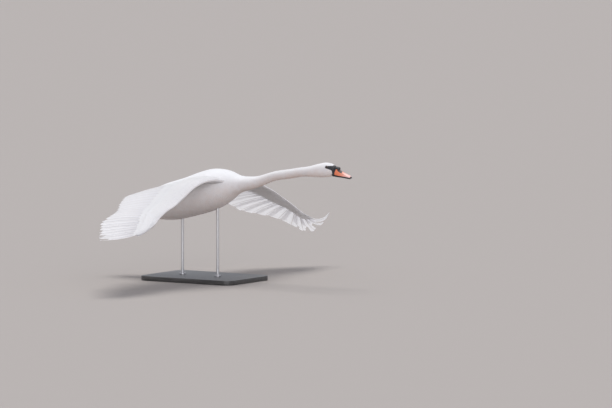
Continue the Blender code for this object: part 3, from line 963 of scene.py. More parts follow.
@dataclass
class TailSheet(Line):
    """The tail as a sheet behind the rump: q runs across it from right to left, t backwards."""

    # f, u, half height and half width at each station
    stations: Table = (
        (-0.405, -0.101, 0.038, 0.064), (-0.440, -0.1135, 0.0265, 0.0605),
        (-0.480, -0.1295, 0.0150, 0.0570), (-0.520, -0.1460, 0.0060, 0.0590),
        (-0.560, -0.1630, 0.0015, 0.0680), (-0.592, -0.1760, 0.0005, 0.0740),
    )
    feathers: int = 12
    side: Side = Side.LEFT
    wedge: float = 0.34
    droop: float = 0.010
    tilt: Array = field(default_factory=lambda: np.array((-0.35, 0.0, 0.937)))

    def _reach(self, q: Number, t: Number) -> tuple[Array, Array]:
        """The share across the tail, and the distance back along its line."""
        across = np.clip(2 * np.asarray(q, float) / self.feathers - 1, -1.0, 1.0)
        return across, self.reach[-1] * t * (1 - self.wedge * across**2 * t)

    def at(self, q: Number, t: Number) -> Array:
        """Points of the middle sheet.

        Args:
            q: Feathers across from the right.
            t: Share from root to tip.

        Returns:
            The points.
        """
        q, t = np.broadcast_arrays(np.asarray(q, float), np.asarray(t, float))
        across, d = self._reach(q, t)
        flat = to_frame(self.read(0, d), self.read(3, d) * across, self.read(1, d))
        return flat - self.tilt * (self.droop * across**2 * t)[..., None]

    def half(self, q: Number, t: Number) -> Array:
        """Half the thickness of the coverts over the tail's root."""
        across, d = self._reach(q, np.asarray(t, float))
        return self.read(2, d) * np.sqrt(np.maximum(0.0, 1 - across**2))


# ---- long feathers laid on a sheet
@dataclass
class VanePlan:
    """One long feather: where it lies on its sheet and how its two vanes are cut."""

    q: float
    root: float
    tip: float
    outer: float
    inner: float
    height: tuple[float, float] = (0.0, 0.0)
    roll: float = 0.0
    blunt: float = 0.84
    notch: float = 2.0
    notched: tuple[float, float] = (0.40, 0.45)
    on_flesh: float = 0.0
    shaft: float = 0.0
    face: Face = Face.UPPER
    tone: float = 0.5


@dataclass
class VaneMaker:
    """Lays long feathers on a sheet as grids of mesh, each with a shaft where it has one."""

    sheet: WingSheet | TailSheet
    rows: int
    columns: int
    splits: int
    seed: int
    row_power: float = 1.45
    tip_power: float = 2.4
    least_width: float = 0.03
    root_width: float = 0.15
    root_long: float = 0.10
    sweep: float = 0.012
    sag: float = 0.0006
    notch_long: float = 0.10
    wave: float = 0.02
    split_width: float = 0.010
    split_deep: Sizes = (0.03, 0.10)
    shaft_end: float = 0.00018
    shaft_flat: float = 1.15
    shaft_step: float = 0.05

    def __post_init__(self) -> None:
        """Places the grid's rows and columns, and starts the random numbers that ruffle the vanes' edges."""
        self.v = (1 - (1 - np.linspace(0.0, 1.0, self.rows + 1)) ** self.row_power)[:, None]
        self.u = np.linspace(-1.0, 1.0, self.columns + 1)
        self.random = np.random.default_rng(self.seed)
        self.grids = Grids()

    def width(self, full: float, cut: float, plan: VanePlan) -> Array:
        """Width of one vane along the feather, in q, cut to that width where it has a notch.

        Args:
            full: The width before the notch.
            cut: The width past it.
            plan: The feather's place and cut.

        Returns:
            The width at each row.
        """
        v = self.v
        full = blend(full, cut, ease(plan.notch, plan.notch + self.notch_long, v))
        round_tip = np.clip((v - plan.blunt) / (1 - plan.blunt), 0.0, 1.0)
        end = (1 - round_tip**self.tip_power) ** (1 / self.tip_power)
        root = ease(-0.02, self.root_long, v) * (1 - self.root_width) + self.root_width
        ruffle = 1 + self.wave * np.sin(v * self.random.uniform(20, 40) + self.random.uniform(0, 6))
        for _ in range(self.splits):
            away = (v - self.random.uniform(0.25, 0.97)) / self.split_width
            ruffle = ruffle - self.random.uniform(*self.split_deep) * np.exp(-(away**2))
        return full * root * ruffle * np.maximum(end, self.least_width)

    def lay(self, plan: VanePlan) -> None:
        """Adds one feather.

        Args:
            plan: The feather's place and cut.
        """
        v, u, sheet = self.v, self.u, self.sheet
        t = blend(plan.root, plan.tip, v)
        outer = self.width(plan.outer, plan.notched[0], plan)
        inner = self.width(plan.inner, plan.notched[1], plan)
        q = np.clip(plan.q + np.where(u > 0, outer, inner) * u, 0.0, sheet.feathers)
        swept = t - self.sweep * u**2 * ease(0.3, 1.0, v)
        rise = blend(*plan.height, v) + plan.on_flesh * sheet.half(q, swept)
        rise = rise + (plan.roll * u - self.sag * u**2)
        points = sheet.at(q, swept) + UP * (plan.face * rise)[..., None]
        self.grids.add(points, v, u, plan.tone, plan.face == sheet.side)
        if plan.shaft:
            self.lay_shaft(plan, t)
        self.grids.feathers += 1

    def lay_shaft(self, plan: VanePlan, t: Array) -> None:
        """Adds the feather's shaft, a thin tapering rod with four sides.

        Args:
            plan: The feather's place and cut.
            t: Place along the sheet at each row.
        """
        sheet = self.sheet
        rise = blend(*plan.height, self.v) + plan.on_flesh * sheet.half(plan.q, t)
        centre = sheet.at(plan.q, t) + UP * (plan.face * rise)[..., None]
        beyond = min(plan.q + self.shaft_step, sheet.feathers)
        across = unit(sheet.at(beyond, t) - sheet.at(plan.q - self.shaft_step, t))
        turn = np.linspace(0.0, TURN, 5)[:, None]
        ring = across * np.cos(turn) * self.shaft_flat + UP * np.sin(turn)
        radius = plan.shaft * (1 - self.v) ** 0.8 + self.shaft_end
        self.grids.add(centre + ring * radius[..., None], self.v, np.zeros(5), plan.tone, sheet.side < 0)

    def dress(self, name: str, plans: Sequence[VanePlan], finish: Material, *replaced: str) -> None:
        """Lays all the feathers and makes them a piece.

        Args:
            name: The piece's name.
            plans: The feathers.
            finish: Its material.
            *replaced: The solids it stands for.
        """
        for plan in plans:
            self.lay(plan)
        dress(self.grids.mesh(name), name, finish, "plumage", *replaced)


# ---- small feathers planted on the skin
@dataclass
class FeatherPattern:
    """Three small feathers of unit length, width and rise, from which a whole coat is planted."""

    name: str
    rows: int
    columns: int
    ragged: float
    root_width: float = 0.22
    full_from: float = 0.45
    round_from: float = 0.48
    least_width: float = 0.10
    row_power: float = 1.35
    tip_back: float = 0.14
    cup: float = 0.12
    lift: float = 0.86
    lifted_by: float = 0.38
    slope: float = 0.16
    tip_down: float = 0.09
    down_from: float = 0.70
    variants: int = 3
    first_seed: int = 100

    def shape(self, v: Array) -> Array:
        """The feather's width along it, as a share of its greatest.

        Args:
            v: Shares along the feather.

        Returns:
            The width at each.
        """
        width = self.root_width + (1 - self.root_width) * ease(0.0, self.full_from, v)
        tip = np.clip((v - self.round_from) / (1 - self.round_from), 0, 1)
        return np.maximum(width * (1 - tip**2) ** 0.5, self.least_width)

    def group(self) -> bpy.types.Collection:
        """Makes the feathers, each frayed in its own way.

        Returns:
            The group of feathers.
        """
        group = bpy.data.collections.new(self.name)
        v = 1 - (1 - np.linspace(0.0, 1.0, self.rows + 1)[:, None]) ** self.row_power
        u = np.linspace(-1.0, 1.0, self.columns + 1)
        shape = self.shape(v)
        along = v - self.tip_back * u**2 * ease(0.5, 1.0, v)
        rise = self.lift * ease(0.0, self.lifted_by, v) + self.slope * v
        rise = rise - self.tip_down * ease(self.down_from, 1.0, v)
        for k in range(self.variants):
            random = np.random.default_rng(self.first_seed + k)
            fray = random.uniform(-self.ragged, self.ragged, (self.rows + 1, self.columns + 1))
            grids = Grids()
            points = stack(0.5 * u * shape, along + fray * ease(0.4, 1.0, v), rise - self.cup * u**2 * shape)
            grids.add(points, v, u, 0.5)
            grids.feathers = 1
            mesh = grids.mesh(f"{self.name}_{k}")
            mesh.attributes.remove(mesh.attributes["tone"])
            mesh.uv_layers.remove(mesh.uv_layers["OFBake"])
            group.objects.link(bpy.data.objects.new(f"{self.name}_{k}", mesh))
        return group


# place, lie, outward way, size, map place and warm tint of every feather in a row, the tint being real stain
# and painted shade
Roots = tuple[Array, ...]


def roots_mesh(name: str, rows: Sequence[Roots], seed: int) -> Mesh:
    """The roots as loose points with their values.

    Args:
        name: The mesh's name.
        rows: The rows of roots.
        seed: Random seed.

    Returns:
        The mesh of points.
    """
    place, lie, out, size, root_map, stain = (np.concatenate(part) for part in zip(*rows))
    made = cloud(name, place)
    values = {
        "lie": unit(lie), "out": unit(out), "size": size, "stain": stain,
        "root_map": np.column_stack((root_map, np.zeros(len(place)))),
        "tone": np.random.default_rng(seed).uniform(0.0, 1.0, len(place)),
    }
    for key, value in values.items():
        set_values(made, key, value)
    return made


class CoatTree(NodeKit):
    """Geometry Nodes that plant one feather at every root and make them plain mesh."""

    SIZES = {"Length": 1.0, "Width": 1.0, "Rise": 1.0, "Turn": 0.06, "Tilt": 0.004, "Patch": 0.003}
    ROOT_VALUES = ("lie", "out", "size", "root_map")

    def __init__(self, name: str) -> None:
        """Args:
            name: The tree's name.
        """
        super().__init__(bpy.data.node_groups.new(name, "GeometryNodeTree"))
        inputs = {"Geometry": "Geometry", "Feathers": "Collection", "Finish": "Material", "Seed": "Int"}
        for key, kind in inputs.items():
            self.tree.interface.new_socket(key, in_out="INPUT", socket_type=f"NodeSocket{kind}")
        for key, value in self.SIZES.items():
            socket = self.tree.interface.new_socket(key, in_out="INPUT", socket_type="NodeSocketFloat")
            socket.default_value = value
        self.tree.interface.new_socket("Geometry", in_out="OUTPUT", socket_type="NodeSocketGeometry")
        self.end("NodeGroupOutput", "Geometry", self.patched(self.planted()))

    def given(self, name: str) -> Wire:
        """One of the tree's inputs."""
        return self.node("NodeGroupInput", out=name)

    def stored(self, name: str) -> Wire:
        """A vector stored on the roots or on the feathers."""
        vector = {"data_type": "FLOAT_VECTOR"}
        return self.node("GeometryNodeInputNamedAttribute", vector, {"Name": name})

    def together(self, *names: str) -> Wire:
        """Three of the tree's inputs as one vector."""
        return self.node("ShaderNodeCombineXYZ", {}, {k: self.given(name) for k, name in enumerate(names)})

    def planted(self) -> Wire:
        """Plants a feather at every root, turned a little at random, and makes the coat plain mesh.

        Returns:
            The coat.
        """
        facing = self.node(
            "FunctionNodeAxesToRotation", {"primary_axis": "Z", "secondary_axis": "Y"},
            {"Primary Axis": self.stored("out"), "Secondary Axis": self.stored("lie")},
        )
        most = self.together("Tilt", "Tilt", "Turn")
        angles = self.node(
            "FunctionNodeRandomValue", {"data_type": "FLOAT_VECTOR"},
            {"Min": self.vector("SCALE", most, -1.0), "Max": most,
             "ID": self.node("GeometryNodeInputIndex"), "Seed": self.given("Seed")},
        )
        small = self.node("FunctionNodeEulerToRotation", {}, {0: angles})
        turned = self.node(
            "FunctionNodeRotateRotation", {"rotation_space": "LOCAL"},
            {"Rotation": facing, "Rotate By": small},
        )
        size = self.vector("MULTIPLY", self.stored("size"), self.together("Width", "Length", "Rise"))
        feathers = self.node(
            "GeometryNodeCollectionInfo", {}, {"Collection": self.given("Feathers"), 1: True, 2: True}
        )
        coat = self.node(
            "GeometryNodeInstanceOnPoints", {},
            {"Points": self.given("Geometry"), "Instance": feathers, "Pick Instance": True,
             "Rotation": turned, "Scale": size},
        )
        return self.node("GeometryNodeRealizeInstances", {}, {0: coat})

    def patched(self, coat: Wire) -> Wire:
        """Gives each feather its patch of the bake map, drops the roots' values and sets the material.

        Args:
            coat: The coat as plain mesh.

        Returns:
            The finished coat.
        """
        centred = self.vector("SUBTRACT", self.stored("vane"), (0.5, 0.5, 0.0))
        patch = self.vector("SCALE", centred, self.given("Patch"))
        coat = self.node(
            "GeometryNodeStoreNamedAttribute", {"data_type": "FLOAT2", "domain": "CORNER"},
            {"Geometry": coat, "Name": "OFBake", "Value": self.vector("ADD", self.stored("root_map"), patch)},
        )
        for name in self.ROOT_VALUES:
            coat = self.node("GeometryNodeRemoveAttribute", {}, {"Geometry": coat, "Name": name})
        return self.node("GeometryNodeSetMaterial", {}, {"Geometry": coat, "Material": self.given("Finish")})

    def grow(
        self, name: str, rows: Sequence[Roots], pattern: FeatherPattern, finish: Material, seed: int,
    ) -> None:
        """Plants a coat on its roots and makes it a piece.

        Args:
            name: The piece's name.
            rows: The rows of roots.
            pattern: The small feathers.
            finish: Its material.
            seed: Random seed.
        """
        holder = new_piece(roots_mesh(f"{name}_roots", rows, seed), f"{name}_roots")
        modifier = holder.modifiers.new("coat", "NODES")
        modifier.node_group = self.tree
        given = {"Feathers": pattern.group(), "Finish": finish, "Seed": seed}
        for item in self.tree.interface.items_tree:
            if item.in_out == "INPUT" and item.name in given:
                modifier[item.identifier] = given[item.name]
        mesh = evaluated(holder)
        bpy.data.objects.remove(holder, do_unlink=True)
        dress(mesh, name, finish, "plumage")


# ---- skin
@dataclass
class SwanSkin:
    """The one skin over body, neck, head and the flesh of both wings."""

    # where each step between the rings begins, against f
    steps: Table = ((-0.47, 0.009), (0.12, 0.005), (0.54, 0.0018), (0.6730, 0.0018))
    # the share and the way forward of the rings that close the skin inside the bill
    closing: Table = ((0.88, 0.0022), (0.70, 0.0035))
    body_points: int = 72
    wing_rings: int = 96
    wing_points: int = 27
    flesh_q: Sizes = (0.0, 10.0, 20.0, 26.0, 29.3)
    flesh_turn: Sizes = (0.56, 0.50, 0.40, 0.30, 0.20)
    flesh_depth: float = 0.0022
    nodes: tuple[str, ...] = (
        "trunk", "neck_base", "neck_middle", "neck_upper", "head",
        "wing_arm_right", "wing_arm_left", "wing_hand_right", "wing_hand_left",
    )

    def body(self, form: BodyForm) -> Shape:
        """The skin from the rump to inside the base of the bill.

        Args:
            form: The body's form.

        Returns:
            Its points and faces.
        """
        rings = []
        for (f, step), (end, _) in zip(self.steps, self.steps[1:]):
            low, high = form.distance(f), form.distance(end)
            count = max(2, round((high - low) / step))
            for d in np.linspace(low, high, count, endpoint=end == self.steps[-1][0]):
                rings.append(form.at(d, circle(self.body_points), -form.skin_depth(d)))
        middle = rings[-1].mean(0)
        for share, forward in self.closing:
            rings.append(middle + (rings[-1] - rings[-1].mean(0)) * share + np.array((forward, 0.0, -0.001)))
        return tube(rings)

    def limb(self, wing: WingSheet) -> Shape:
        """The flesh of a wing from inside the trunk to its tip.

        Args:
            wing: The wing's sheet.

        Returns:
            Its points and faces.
        """
        rings = []
        for q in np.linspace(0.0, self.flesh_q[-1], self.wing_rings):
            end = float(curve(q, self.flesh_q, self.flesh_turn))
            turn = end * np.cos(np.linspace(0.0, math.pi, self.wing_points))
            rings.append(wing.skin(np.full(len(turn), q), turn, -self.flesh_depth))
        return tube(rings)

    def build(self, form: BodyForm, wings: Sequence[WingSheet], finish: Material) -> None:
        """Joins the pieces of flesh into one skin and dresses it.

        Args:
            form: The body's form.
            wings: Both wings' sheets.
            finish: Its material.
        """
        pieces = [new_piece(solid("swan_skin", self.body(form)), "swan_skin")]
        for wing in wings:
            name = f"wing_flesh_{wing.side.label}"
            pieces.append(new_piece(solid(name, self.limb(wing)), name))
            joined = pieces[0].modifiers.new(name, "BOOLEAN")
            joined.operation, joined.object = "UNION", pieces[-1]
        mesh = evaluated(pieces[0])
        for piece in pieces:
            bpy.data.objects.remove(piece, do_unlink=True)
        set_values(mesh, "bare_edge", form.bare_edge(vertex_points(mesh)))
        dress(mesh, "swan_skin", finish, "plumage", *self.nodes)


# ---- coat
@dataclass
class BodyCoat:
    """Small feathers in overlapping rows from the face to the rump."""

    form: BodyForm
    eye: Array
    # each piece of the coat: its name, first and last f, its feather pattern and its seed
    zones: tuple[tuple, ...] = (
        ("coat_trunk", -0.462, 0.125, (6, 5, 0.012), 21),
        ("coat_neck", 0.125, 0.545, (4, 3, 0.025), 22),
        ("coat_head", 0.545, 0.671, (3, 2, 0.04), 23),
    )
    # length and width of a feather against f
    size_f: Sizes = (-0.46, -0.20, -0.06, 0.03, 0.12, 0.20, 0.30, 0.50, 0.57, 0.62, 0.655, 0.671)
    lengths: Sizes = (
        0.040, 0.036, 0.029, 0.0235, 0.0185, 0.016, 0.0130, 0.0110, 0.0080, 0.0060, 0.0042, 0.0034,
    )
    widths: Sizes = (
        0.024, 0.022, 0.019, 0.0165, 0.013, 0.010, 0.0082, 0.0070, 0.0050, 0.0038, 0.0027, 0.0022,
    )
    row_share: float = 0.33
    side_share: float = 0.58
    proud: float = 1.15
    most_stretch: float = 1.6
    eye_clear: float = 0.0082
    face_clear: float = 0.0006

    def rows(self, start: float, end: float, seed: int) -> list[Roots]:
        """Plants the rows between two places along f.

        Args:
            start: f of the first row.
            end: f of the last row.
            seed: Random seed.

        Returns:
            The rows of roots.
        """
        random = np.random.default_rng(seed)
        rows = []
        d, end = self.form.distance(start), self.form.distance(end)
        while d < end:
            f = float(self.form.read(0, d))
            length, width = (float(curve(f, self.size_f, sizes)) for sizes in (self.lengths, self.widths))
            around = math.pi * (float(self.form.read(2, d)) + float(self.form.read(3, d)))
            count = max(12, round(around / (width * self.side_share)))
            place = np.arange(count) + 0.5 * (len(rows) % 2) + random.uniform(-0.2, 0.2, count)
            places_d = d + random.uniform(-0.15, 0.15, count) * length * self.row_share
            rows.append(self.row(places_d, place * TURN / count, length, width, random))
            d += length * self.row_share
        return rows

    def row(self, d: Array, angle: Array, length: float, width: float, random: np.random.Generator) -> Roots:
        """Plants one row, leaving the bare face and the eyes free.

        Args:
            d: Distance along the spine.
            angle: Angles round the spine.
            length: Length of a feather.
            width: Its width.
            random: The random numbers.

        Returns:
            The row's roots.
        """
        form = self.form
        depth = form.skin_depth(d)
        behind = np.maximum(0.0, d - length)
        place = form.at(d, angle, -depth)
        ahead = place - form.at(behind, angle, -form.skin_depth(behind))
        out = np.cross(form.at(d, angle + 0.02) - form.at(d, angle - 0.02), ahead)
        near_eye = np.linalg.norm(place * (1, 0, 1) + LEFT * np.abs(place[:, 1:2]) - self.eye, axis=1)
        keep = (form.bare_edge(place) > self.face_clear) & (near_eye > self.eye_clear)
        grown = 1 + random.uniform(-0.12, 0.12, len(d))
        stretch = np.linalg.norm(ahead, axis=1) / np.maximum(d - behind, 1e-6)
        stretch = np.clip(stretch, 1.0, self.most_stretch)
        size = np.column_stack((width * grown, length * grown * stretch, depth * self.proud))
        values = (place, -ahead, out, size, form.unwrap(d, angle), form.stain(place, angle))
        return tuple(value[keep] for value in values)

    def build(self, finish: Material) -> None:
        """Grows every zone's coat.

        Args:
            finish: The coat's material.
        """
        for name, start, end, pattern, seed in self.zones:
            feathers = FeatherPattern(f"{name}_feather", *pattern)
            CoatTree(name).grow(name, self.rows(start, end, seed), feathers, finish, seed)


@dataclass
class WingPlumage:
    """The flight feathers, coverts and small coverts of one wing."""

    sheet: WingSheet
    # where each outer primary turns into a finger, and how wide its outer and inner vanes stay
    fingers: dict[Side, dict[int, Sizes]] = field(default_factory=lambda: {
        Side.RIGHT: {
            4: (0.92, 0.34, 0.96), 5: (0.91, 0.50, 0.36), 6: (0.88, 0.34, 0.96),
            7: (0.85, 0.50, 0.34), 8: (0.81, 0.32, 0.96), 9: (0.77, 0.44, 0.36),
        },
        Side.LEFT: {
            6: (0.70, 0.29, 0.34), 7: (0.54, 0.22, 0.28), 8: (0.42, 0.19, 0.21), 9: (0.40, 0.42, 0.44),
        },
    })
    # greater and median coverts: the q of each, root and tip on the arm and on the hand,
    # how much shorter the tips are underneath, outer and inner width, and the rest of the plan
    covert_rows: tuple[tuple, ...] = (
        (np.arange(0.5, 30.0), (0.14, 0.05), (0.47, 0.33), 0.12, (0.58, 0.90),
         {"height": (-0.002, 0.0012), "roll": 0.0005, "blunt": 0.70, "on_flesh": 0.95}),
        (np.arange(0.4, 29.2, 0.72), (0.09, 0.03), (0.34, 0.23), 0.08, (0.50, 0.64),
         {"height": (-0.0014, 0.0014), "roll": 0.0004, "blunt": 0.62, "on_flesh": 1.0}),
    )
    hand_from: float = 16.0
    hand_to: float = 24.0
    uneven: float = 0.012
    small_q: Sizes = (0.0, 10.0, 20.0, 26.0, 30.0)
    small_length: Sizes = (0.040, 0.034, 0.028, 0.021, 0.014)
    small_rows: Sizes = (
        0.0008, 0.003, 0.007, 0.013, 0.022, 0.034, 0.050, 0.070, 0.094, 0.120, 0.146, 0.172, 0.198,
    )
    small_step: float = 0.46
    small_depth: float = 0.0022
    small_proud: float = 1.35
    small_narrow: float = 0.68
    small_stain: float = 0.05
    # the first and last q of their rows, and their share of length at the nose with where they are full
    small_from: float = 0.2
    small_short_of: float = 0.35
    nose_share: float = 0.25
    full_from: float = 0.08

    def primaries(self) -> list[VanePlan]:
        """The ten long feathers of the hand, the outer ones cut into fingers.

        Returns:
            The feathers, outwards.
        """
        last = self.sheet.primaries - 1
        plans = []
        for k in range(last + 1):
            notch, *notched = self.fingers[self.sheet.side].get(k, (2.0, 0.4, 0.4))
            plans.append(VanePlan(
                q=self.sheet.secondaries + k + 0.5, root=0.06, tip=1.0, outer=0.50 if k < last else 0.46,
                inner=0.96, height=(0.001, 0.0), roll=0.0026 if k % 2 else 0.0010, blunt=0.89,
                notch=notch, notched=notched, shaft=0.0016, tone=(k % 3) / 2,
            ))
        return plans

    def secondaries(self) -> list[VanePlan]:
        """The feathers of the arm, whose round tips make the trailing edge.

        Returns:
            The feathers, outwards.
        """
        random = np.random.default_rng(5)
        return [
            VanePlan(
                q=k + 0.5, root=0.16, tip=1.0 - random.uniform(0.0, self.uneven), outer=0.52, inner=0.94,
                roll=0.0007, blunt=0.91, shaft=0.0010, tone=random.uniform(0, 1),
            )
            for k in range(self.sheet.secondaries)
        ]

    def coverts(self, face: Face) -> list[VanePlan]:
        """The greater and median coverts of one face.

        Args:
            face: The face they lie on.

        Returns:
            The feathers, row by row.
        """
        random = np.random.default_rng(6 + face)
        plans = []
        for places, root, tip, shorter, widths, rest in self.covert_rows:
            for q in places:
                hand = float(ease(self.hand_from, self.hand_to, q))
                end = blend(*tip, hand) - (0.0 if face == Face.UPPER else shorter)
                end, tone = end + random.uniform(-self.uneven, self.uneven), random.uniform(0, 1)
                plans.append(VanePlan(q, blend(*root, hand), end, *widths, face=face, tone=tone, **rest))
        return plans

    def alula(self) -> list[VanePlan]:
        """Three short stiff feathers at the wrist.

        Returns:
            The feathers, outwards.
        """
        first = self.sheet.secondaries + 0.5
        return [
            VanePlan(
                q=first + 0.42 * k, root=0.02, tip=0.30 - 0.05 * k, outer=0.22, inner=0.34,
                height=(-0.0012, 0.0024 - 0.0004 * k), roll=0.0004, blunt=0.86, on_flesh=1.0, shaft=0.0006,
            )
            for k in range(3)
        ]

    def small_coverts(self) -> list[Roots]:
        """Roots of the small coverts over the leading edge, on both faces.

        Returns:
            The rows of roots.
        """
        sheet, depth = self.sheet, self.small_depth
        random = np.random.default_rng(31 + sheet.side)
        rows = []
        for face in Face:
            for row, t in enumerate(self.small_rows):
                q = np.arange(self.small_from, sheet.feathers - self.small_short_of, self.small_step)
                q = q + self.small_step * (0.5 * (row % 2) + random.uniform(-0.2, 0.2, len(q)))
                turn = np.full(len(q), face * math.sqrt(t))
                place = sheet.skin(q, turn, -depth)
                outward = sheet.skin(q + 0.1, turn) - sheet.skin(q - 0.1, turn)
                share = self.nose_share + (1 - self.nose_share) * ease(0.0, self.full_from, t)
                length = curve(q, self.small_q, self.small_length) * share
                length = length * (1 + random.uniform(-0.1, 0.1, len(q)))
                chord = np.linalg.norm(sheet.at(q, 1.0) - sheet.at(q, 0.0), axis=1)
                lie = sheet.skin(q, face * np.sqrt(t + length / chord), -depth) - place
                out = face * sheet.side * np.cross(outward, lie)
                size = stack(length * self.small_narrow, length, depth * self.small_proud)
                rows.append((place, lie, out, size, sheet.unwrap(q, turn), np.full(len(q), self.small_stain)))
        return rows

    def build(self, long_finish: Material, soft_finish: Material) -> None:
        """Makes the wing's pieces.

        Args:
            long_finish: Material of the long feathers.
            soft_finish: Material of the coverts.
        """
        side = self.sheet.side.label
        for name, plans, finish, *maker in (
            ("primaries", self.primaries(), long_finish, 44, 12, 5, 41),
            ("secondaries", self.secondaries(), long_finish, 30, 10, 4, 42),
            ("upper_coverts", self.coverts(Face.UPPER) + self.alula(), soft_finish, 14, 6, 2, 43),
            ("under_coverts", self.coverts(Face.UNDER), soft_finish, 14, 6, 2, 44),
        ):
            VaneMaker(self.sheet, *maker).dress(f"{name}_{side}", plans, finish)
        pattern, name = FeatherPattern(f"small_covert_{side}", 7, 6, 0.012), f"small_coverts_{side}"
        CoatTree(name).grow(name, self.small_coverts(), pattern, soft_finish, 51)


@dataclass
class TailPlumage:
    """The tail's long feathers, the middle pair on top, and the coverts above and below their roots."""

    sheet: TailSheet
    feather_width: float = 0.75
    covert_width: float = 0.85
    covert_step: float = 1.05
    middle_rise: float = 0.0035
    covert_rise: float = 0.003
    covert_drop: float = 0.0008
    # the root and tip of each row of coverts
    covert_rows: Table = ((0.0, 0.30), (0.08, 0.42), (0.16, 0.55))
    # rows, columns, splits and seed of a feather's grid
    grid: tuple[int, ...] = (22, 8, 3, 61)

    def feathers(self) -> list[VanePlan]:
        """The long feathers, from right to left.

        Returns:
            The feathers.
        """
        plans = []
        for k in range(self.sheet.feathers):
            across = abs(2 * (k + 0.5) / self.sheet.feathers - 1)
            plans.append(VanePlan(
                q=k + 0.5, root=0.10, tip=1.0, outer=self.feather_width, inner=self.feather_width,
                height=(0.0, self.middle_rise * (1 - across)), blunt=0.82, shaft=0.0013, tone=(k % 4) / 3,
            ))
        return plans

    def coverts(self) -> list[VanePlan]:
        """The coverts of both faces, each row over the gaps of the one before.

        Returns:
            The feathers, row by row.
        """
        plans = []
        for face in Face:
            for row, (root, tip) in enumerate(self.covert_rows):
                rise = self.covert_rise - self.covert_drop * row
                for q in np.arange(0.8 + 0.5 * (row % 2), self.sheet.feathers - 0.5, self.covert_step):
                    plans.append(VanePlan(
                        q, root, tip, outer=self.covert_width, inner=self.covert_width, height=(0.0, rise),
                        blunt=0.70, on_flesh=0.95, face=face, tone=0.4,
                    ))
        return plans

    def build(self, long_finish: Material, soft_finish: Material) -> None:
        """Makes the tail's pieces."""
        VaneMaker(self.sheet, *self.grid).dress("tail_feathers", self.feathers(), long_finish, "tail")
        VaneMaker(self.sheet, *self.grid).dress("tail_coverts", self.coverts(), soft_finish)


# ---- head
@dataclass
class SwanEyes:
    """Two eyeballs, each set in a ring of bare lid."""

    centre: Sizes = (0.6425, 0.0228, 0.1385)
    look: Array = field(default_factory=lambda: np.array((0.22, 0.97, 0.08)))
    ahead: Array = field(default_factory=lambda: np.array((1.0, 0.0, -0.10)))
    radius: float = 0.0062
    bulge: float = 0.045
    bulge_spread: float = 0.55
    iris_reach: float = math.radians(48)
    lid_reach: Sizes = (0.0060, 0.0049)
    lid_thick: float = 0.0013
    lid_wide: float = 1.15
    lid_out: float = 0.0036
    corner_long: float = 0.16
    corner_deep: float = 0.0010
    lid_fold: float = 0.12

    def axes(self, side: Side) -> tuple[Array, ...]:
        """The eye's centre, and the ways it looks, runs forward and stands up.

        Args:
            side: The side of the bird.

        Returns:
            The centre and the three ways.
        """
        f, s, u = self.centre
        look = unit(self.look * (1, side, 1))
        forward = unit(self.ahead - look * np.dot(look, self.ahead))
        return to_frame(f, side * s, u), look, forward, np.cross(look, forward) * side

    def ball(self, name: str, side: Side) -> Mesh:
        """An eyeball with its poles on the line it looks along, and the share of its iris at each vertex.

        Args:
            name: The piece's name.
            side: The side of the bird.

        Returns:
            The mesh.
        """
        centre, look, forward, up = self.axes(side)
        turn = circle(40)
        rings = []
        for a in np.linspace(0.0, math.pi, 33)[1:-1]:
            bulge = 1 + self.bulge * math.exp(-((a / self.bulge_spread) ** 2))
            ring = centre + look * math.cos(a) * self.radius * bulge
            round_look = np.outer(np.cos(turn), forward) + np.outer(np.sin(turn), up)
            rings.append(ring + round_look * self.radius * math.sin(a))
        mesh = solid(name, tube(rings))
        away = np.arccos(np.clip(unit(vertex_points(mesh) - centre) @ look, -1, 1))
        set_values(mesh, "reach", away / self.iris_reach)
        return mesh

    def lid(self, name: str, side: Side) -> Mesh:
        """The ring of lid, drawn out to a corner before and behind the eye.

        Args:
            name: The piece's name.
            side: The side of the bird.

        Returns:
            The mesh.
        """
        centre, look, forward, up = self.axes(side)
        long, tall = self.lid_reach
        section = circle(14)
        rings = []
        for turn in circle(56):
            corner = abs(math.cos(turn)) ** 8
            reach = forward * math.cos(turn) * long * (1 + self.corner_long * corner)
            reach = reach + up * math.sin(turn) * tall
            middle = centre + look * (self.lid_out - self.corner_deep * corner) + reach
            ring = np.outer(np.cos(section) * self.lid_wide, unit(reach)) + np.outer(np.sin(section), look)
            fold = 1 + self.lid_fold * np.sin(3 * section + turn)
            rings.append(middle + ring * (self.lid_thick * fold)[:, None])
        mesh = solid(name, tube(rings, closed=True))
        set_values(mesh, "bare_edge", np.full(len(mesh.vertices), -1.0))
        return mesh

    def build(self, eye: Material, skin: Material) -> None:
        """Makes both eyes and their lids.

        Args:
            eye: The eyeballs' material.
            skin: The lids' material.
        """
        for side in Side:
            ball, lid = f"eyeball_{side.label}", f"eyelid_{side.label}"
            dress(self.ball(ball, side), ball, eye, "eye", f"eye_{side.label}")
            dress(self.lid(lid, side), lid, skin, "bill_black")


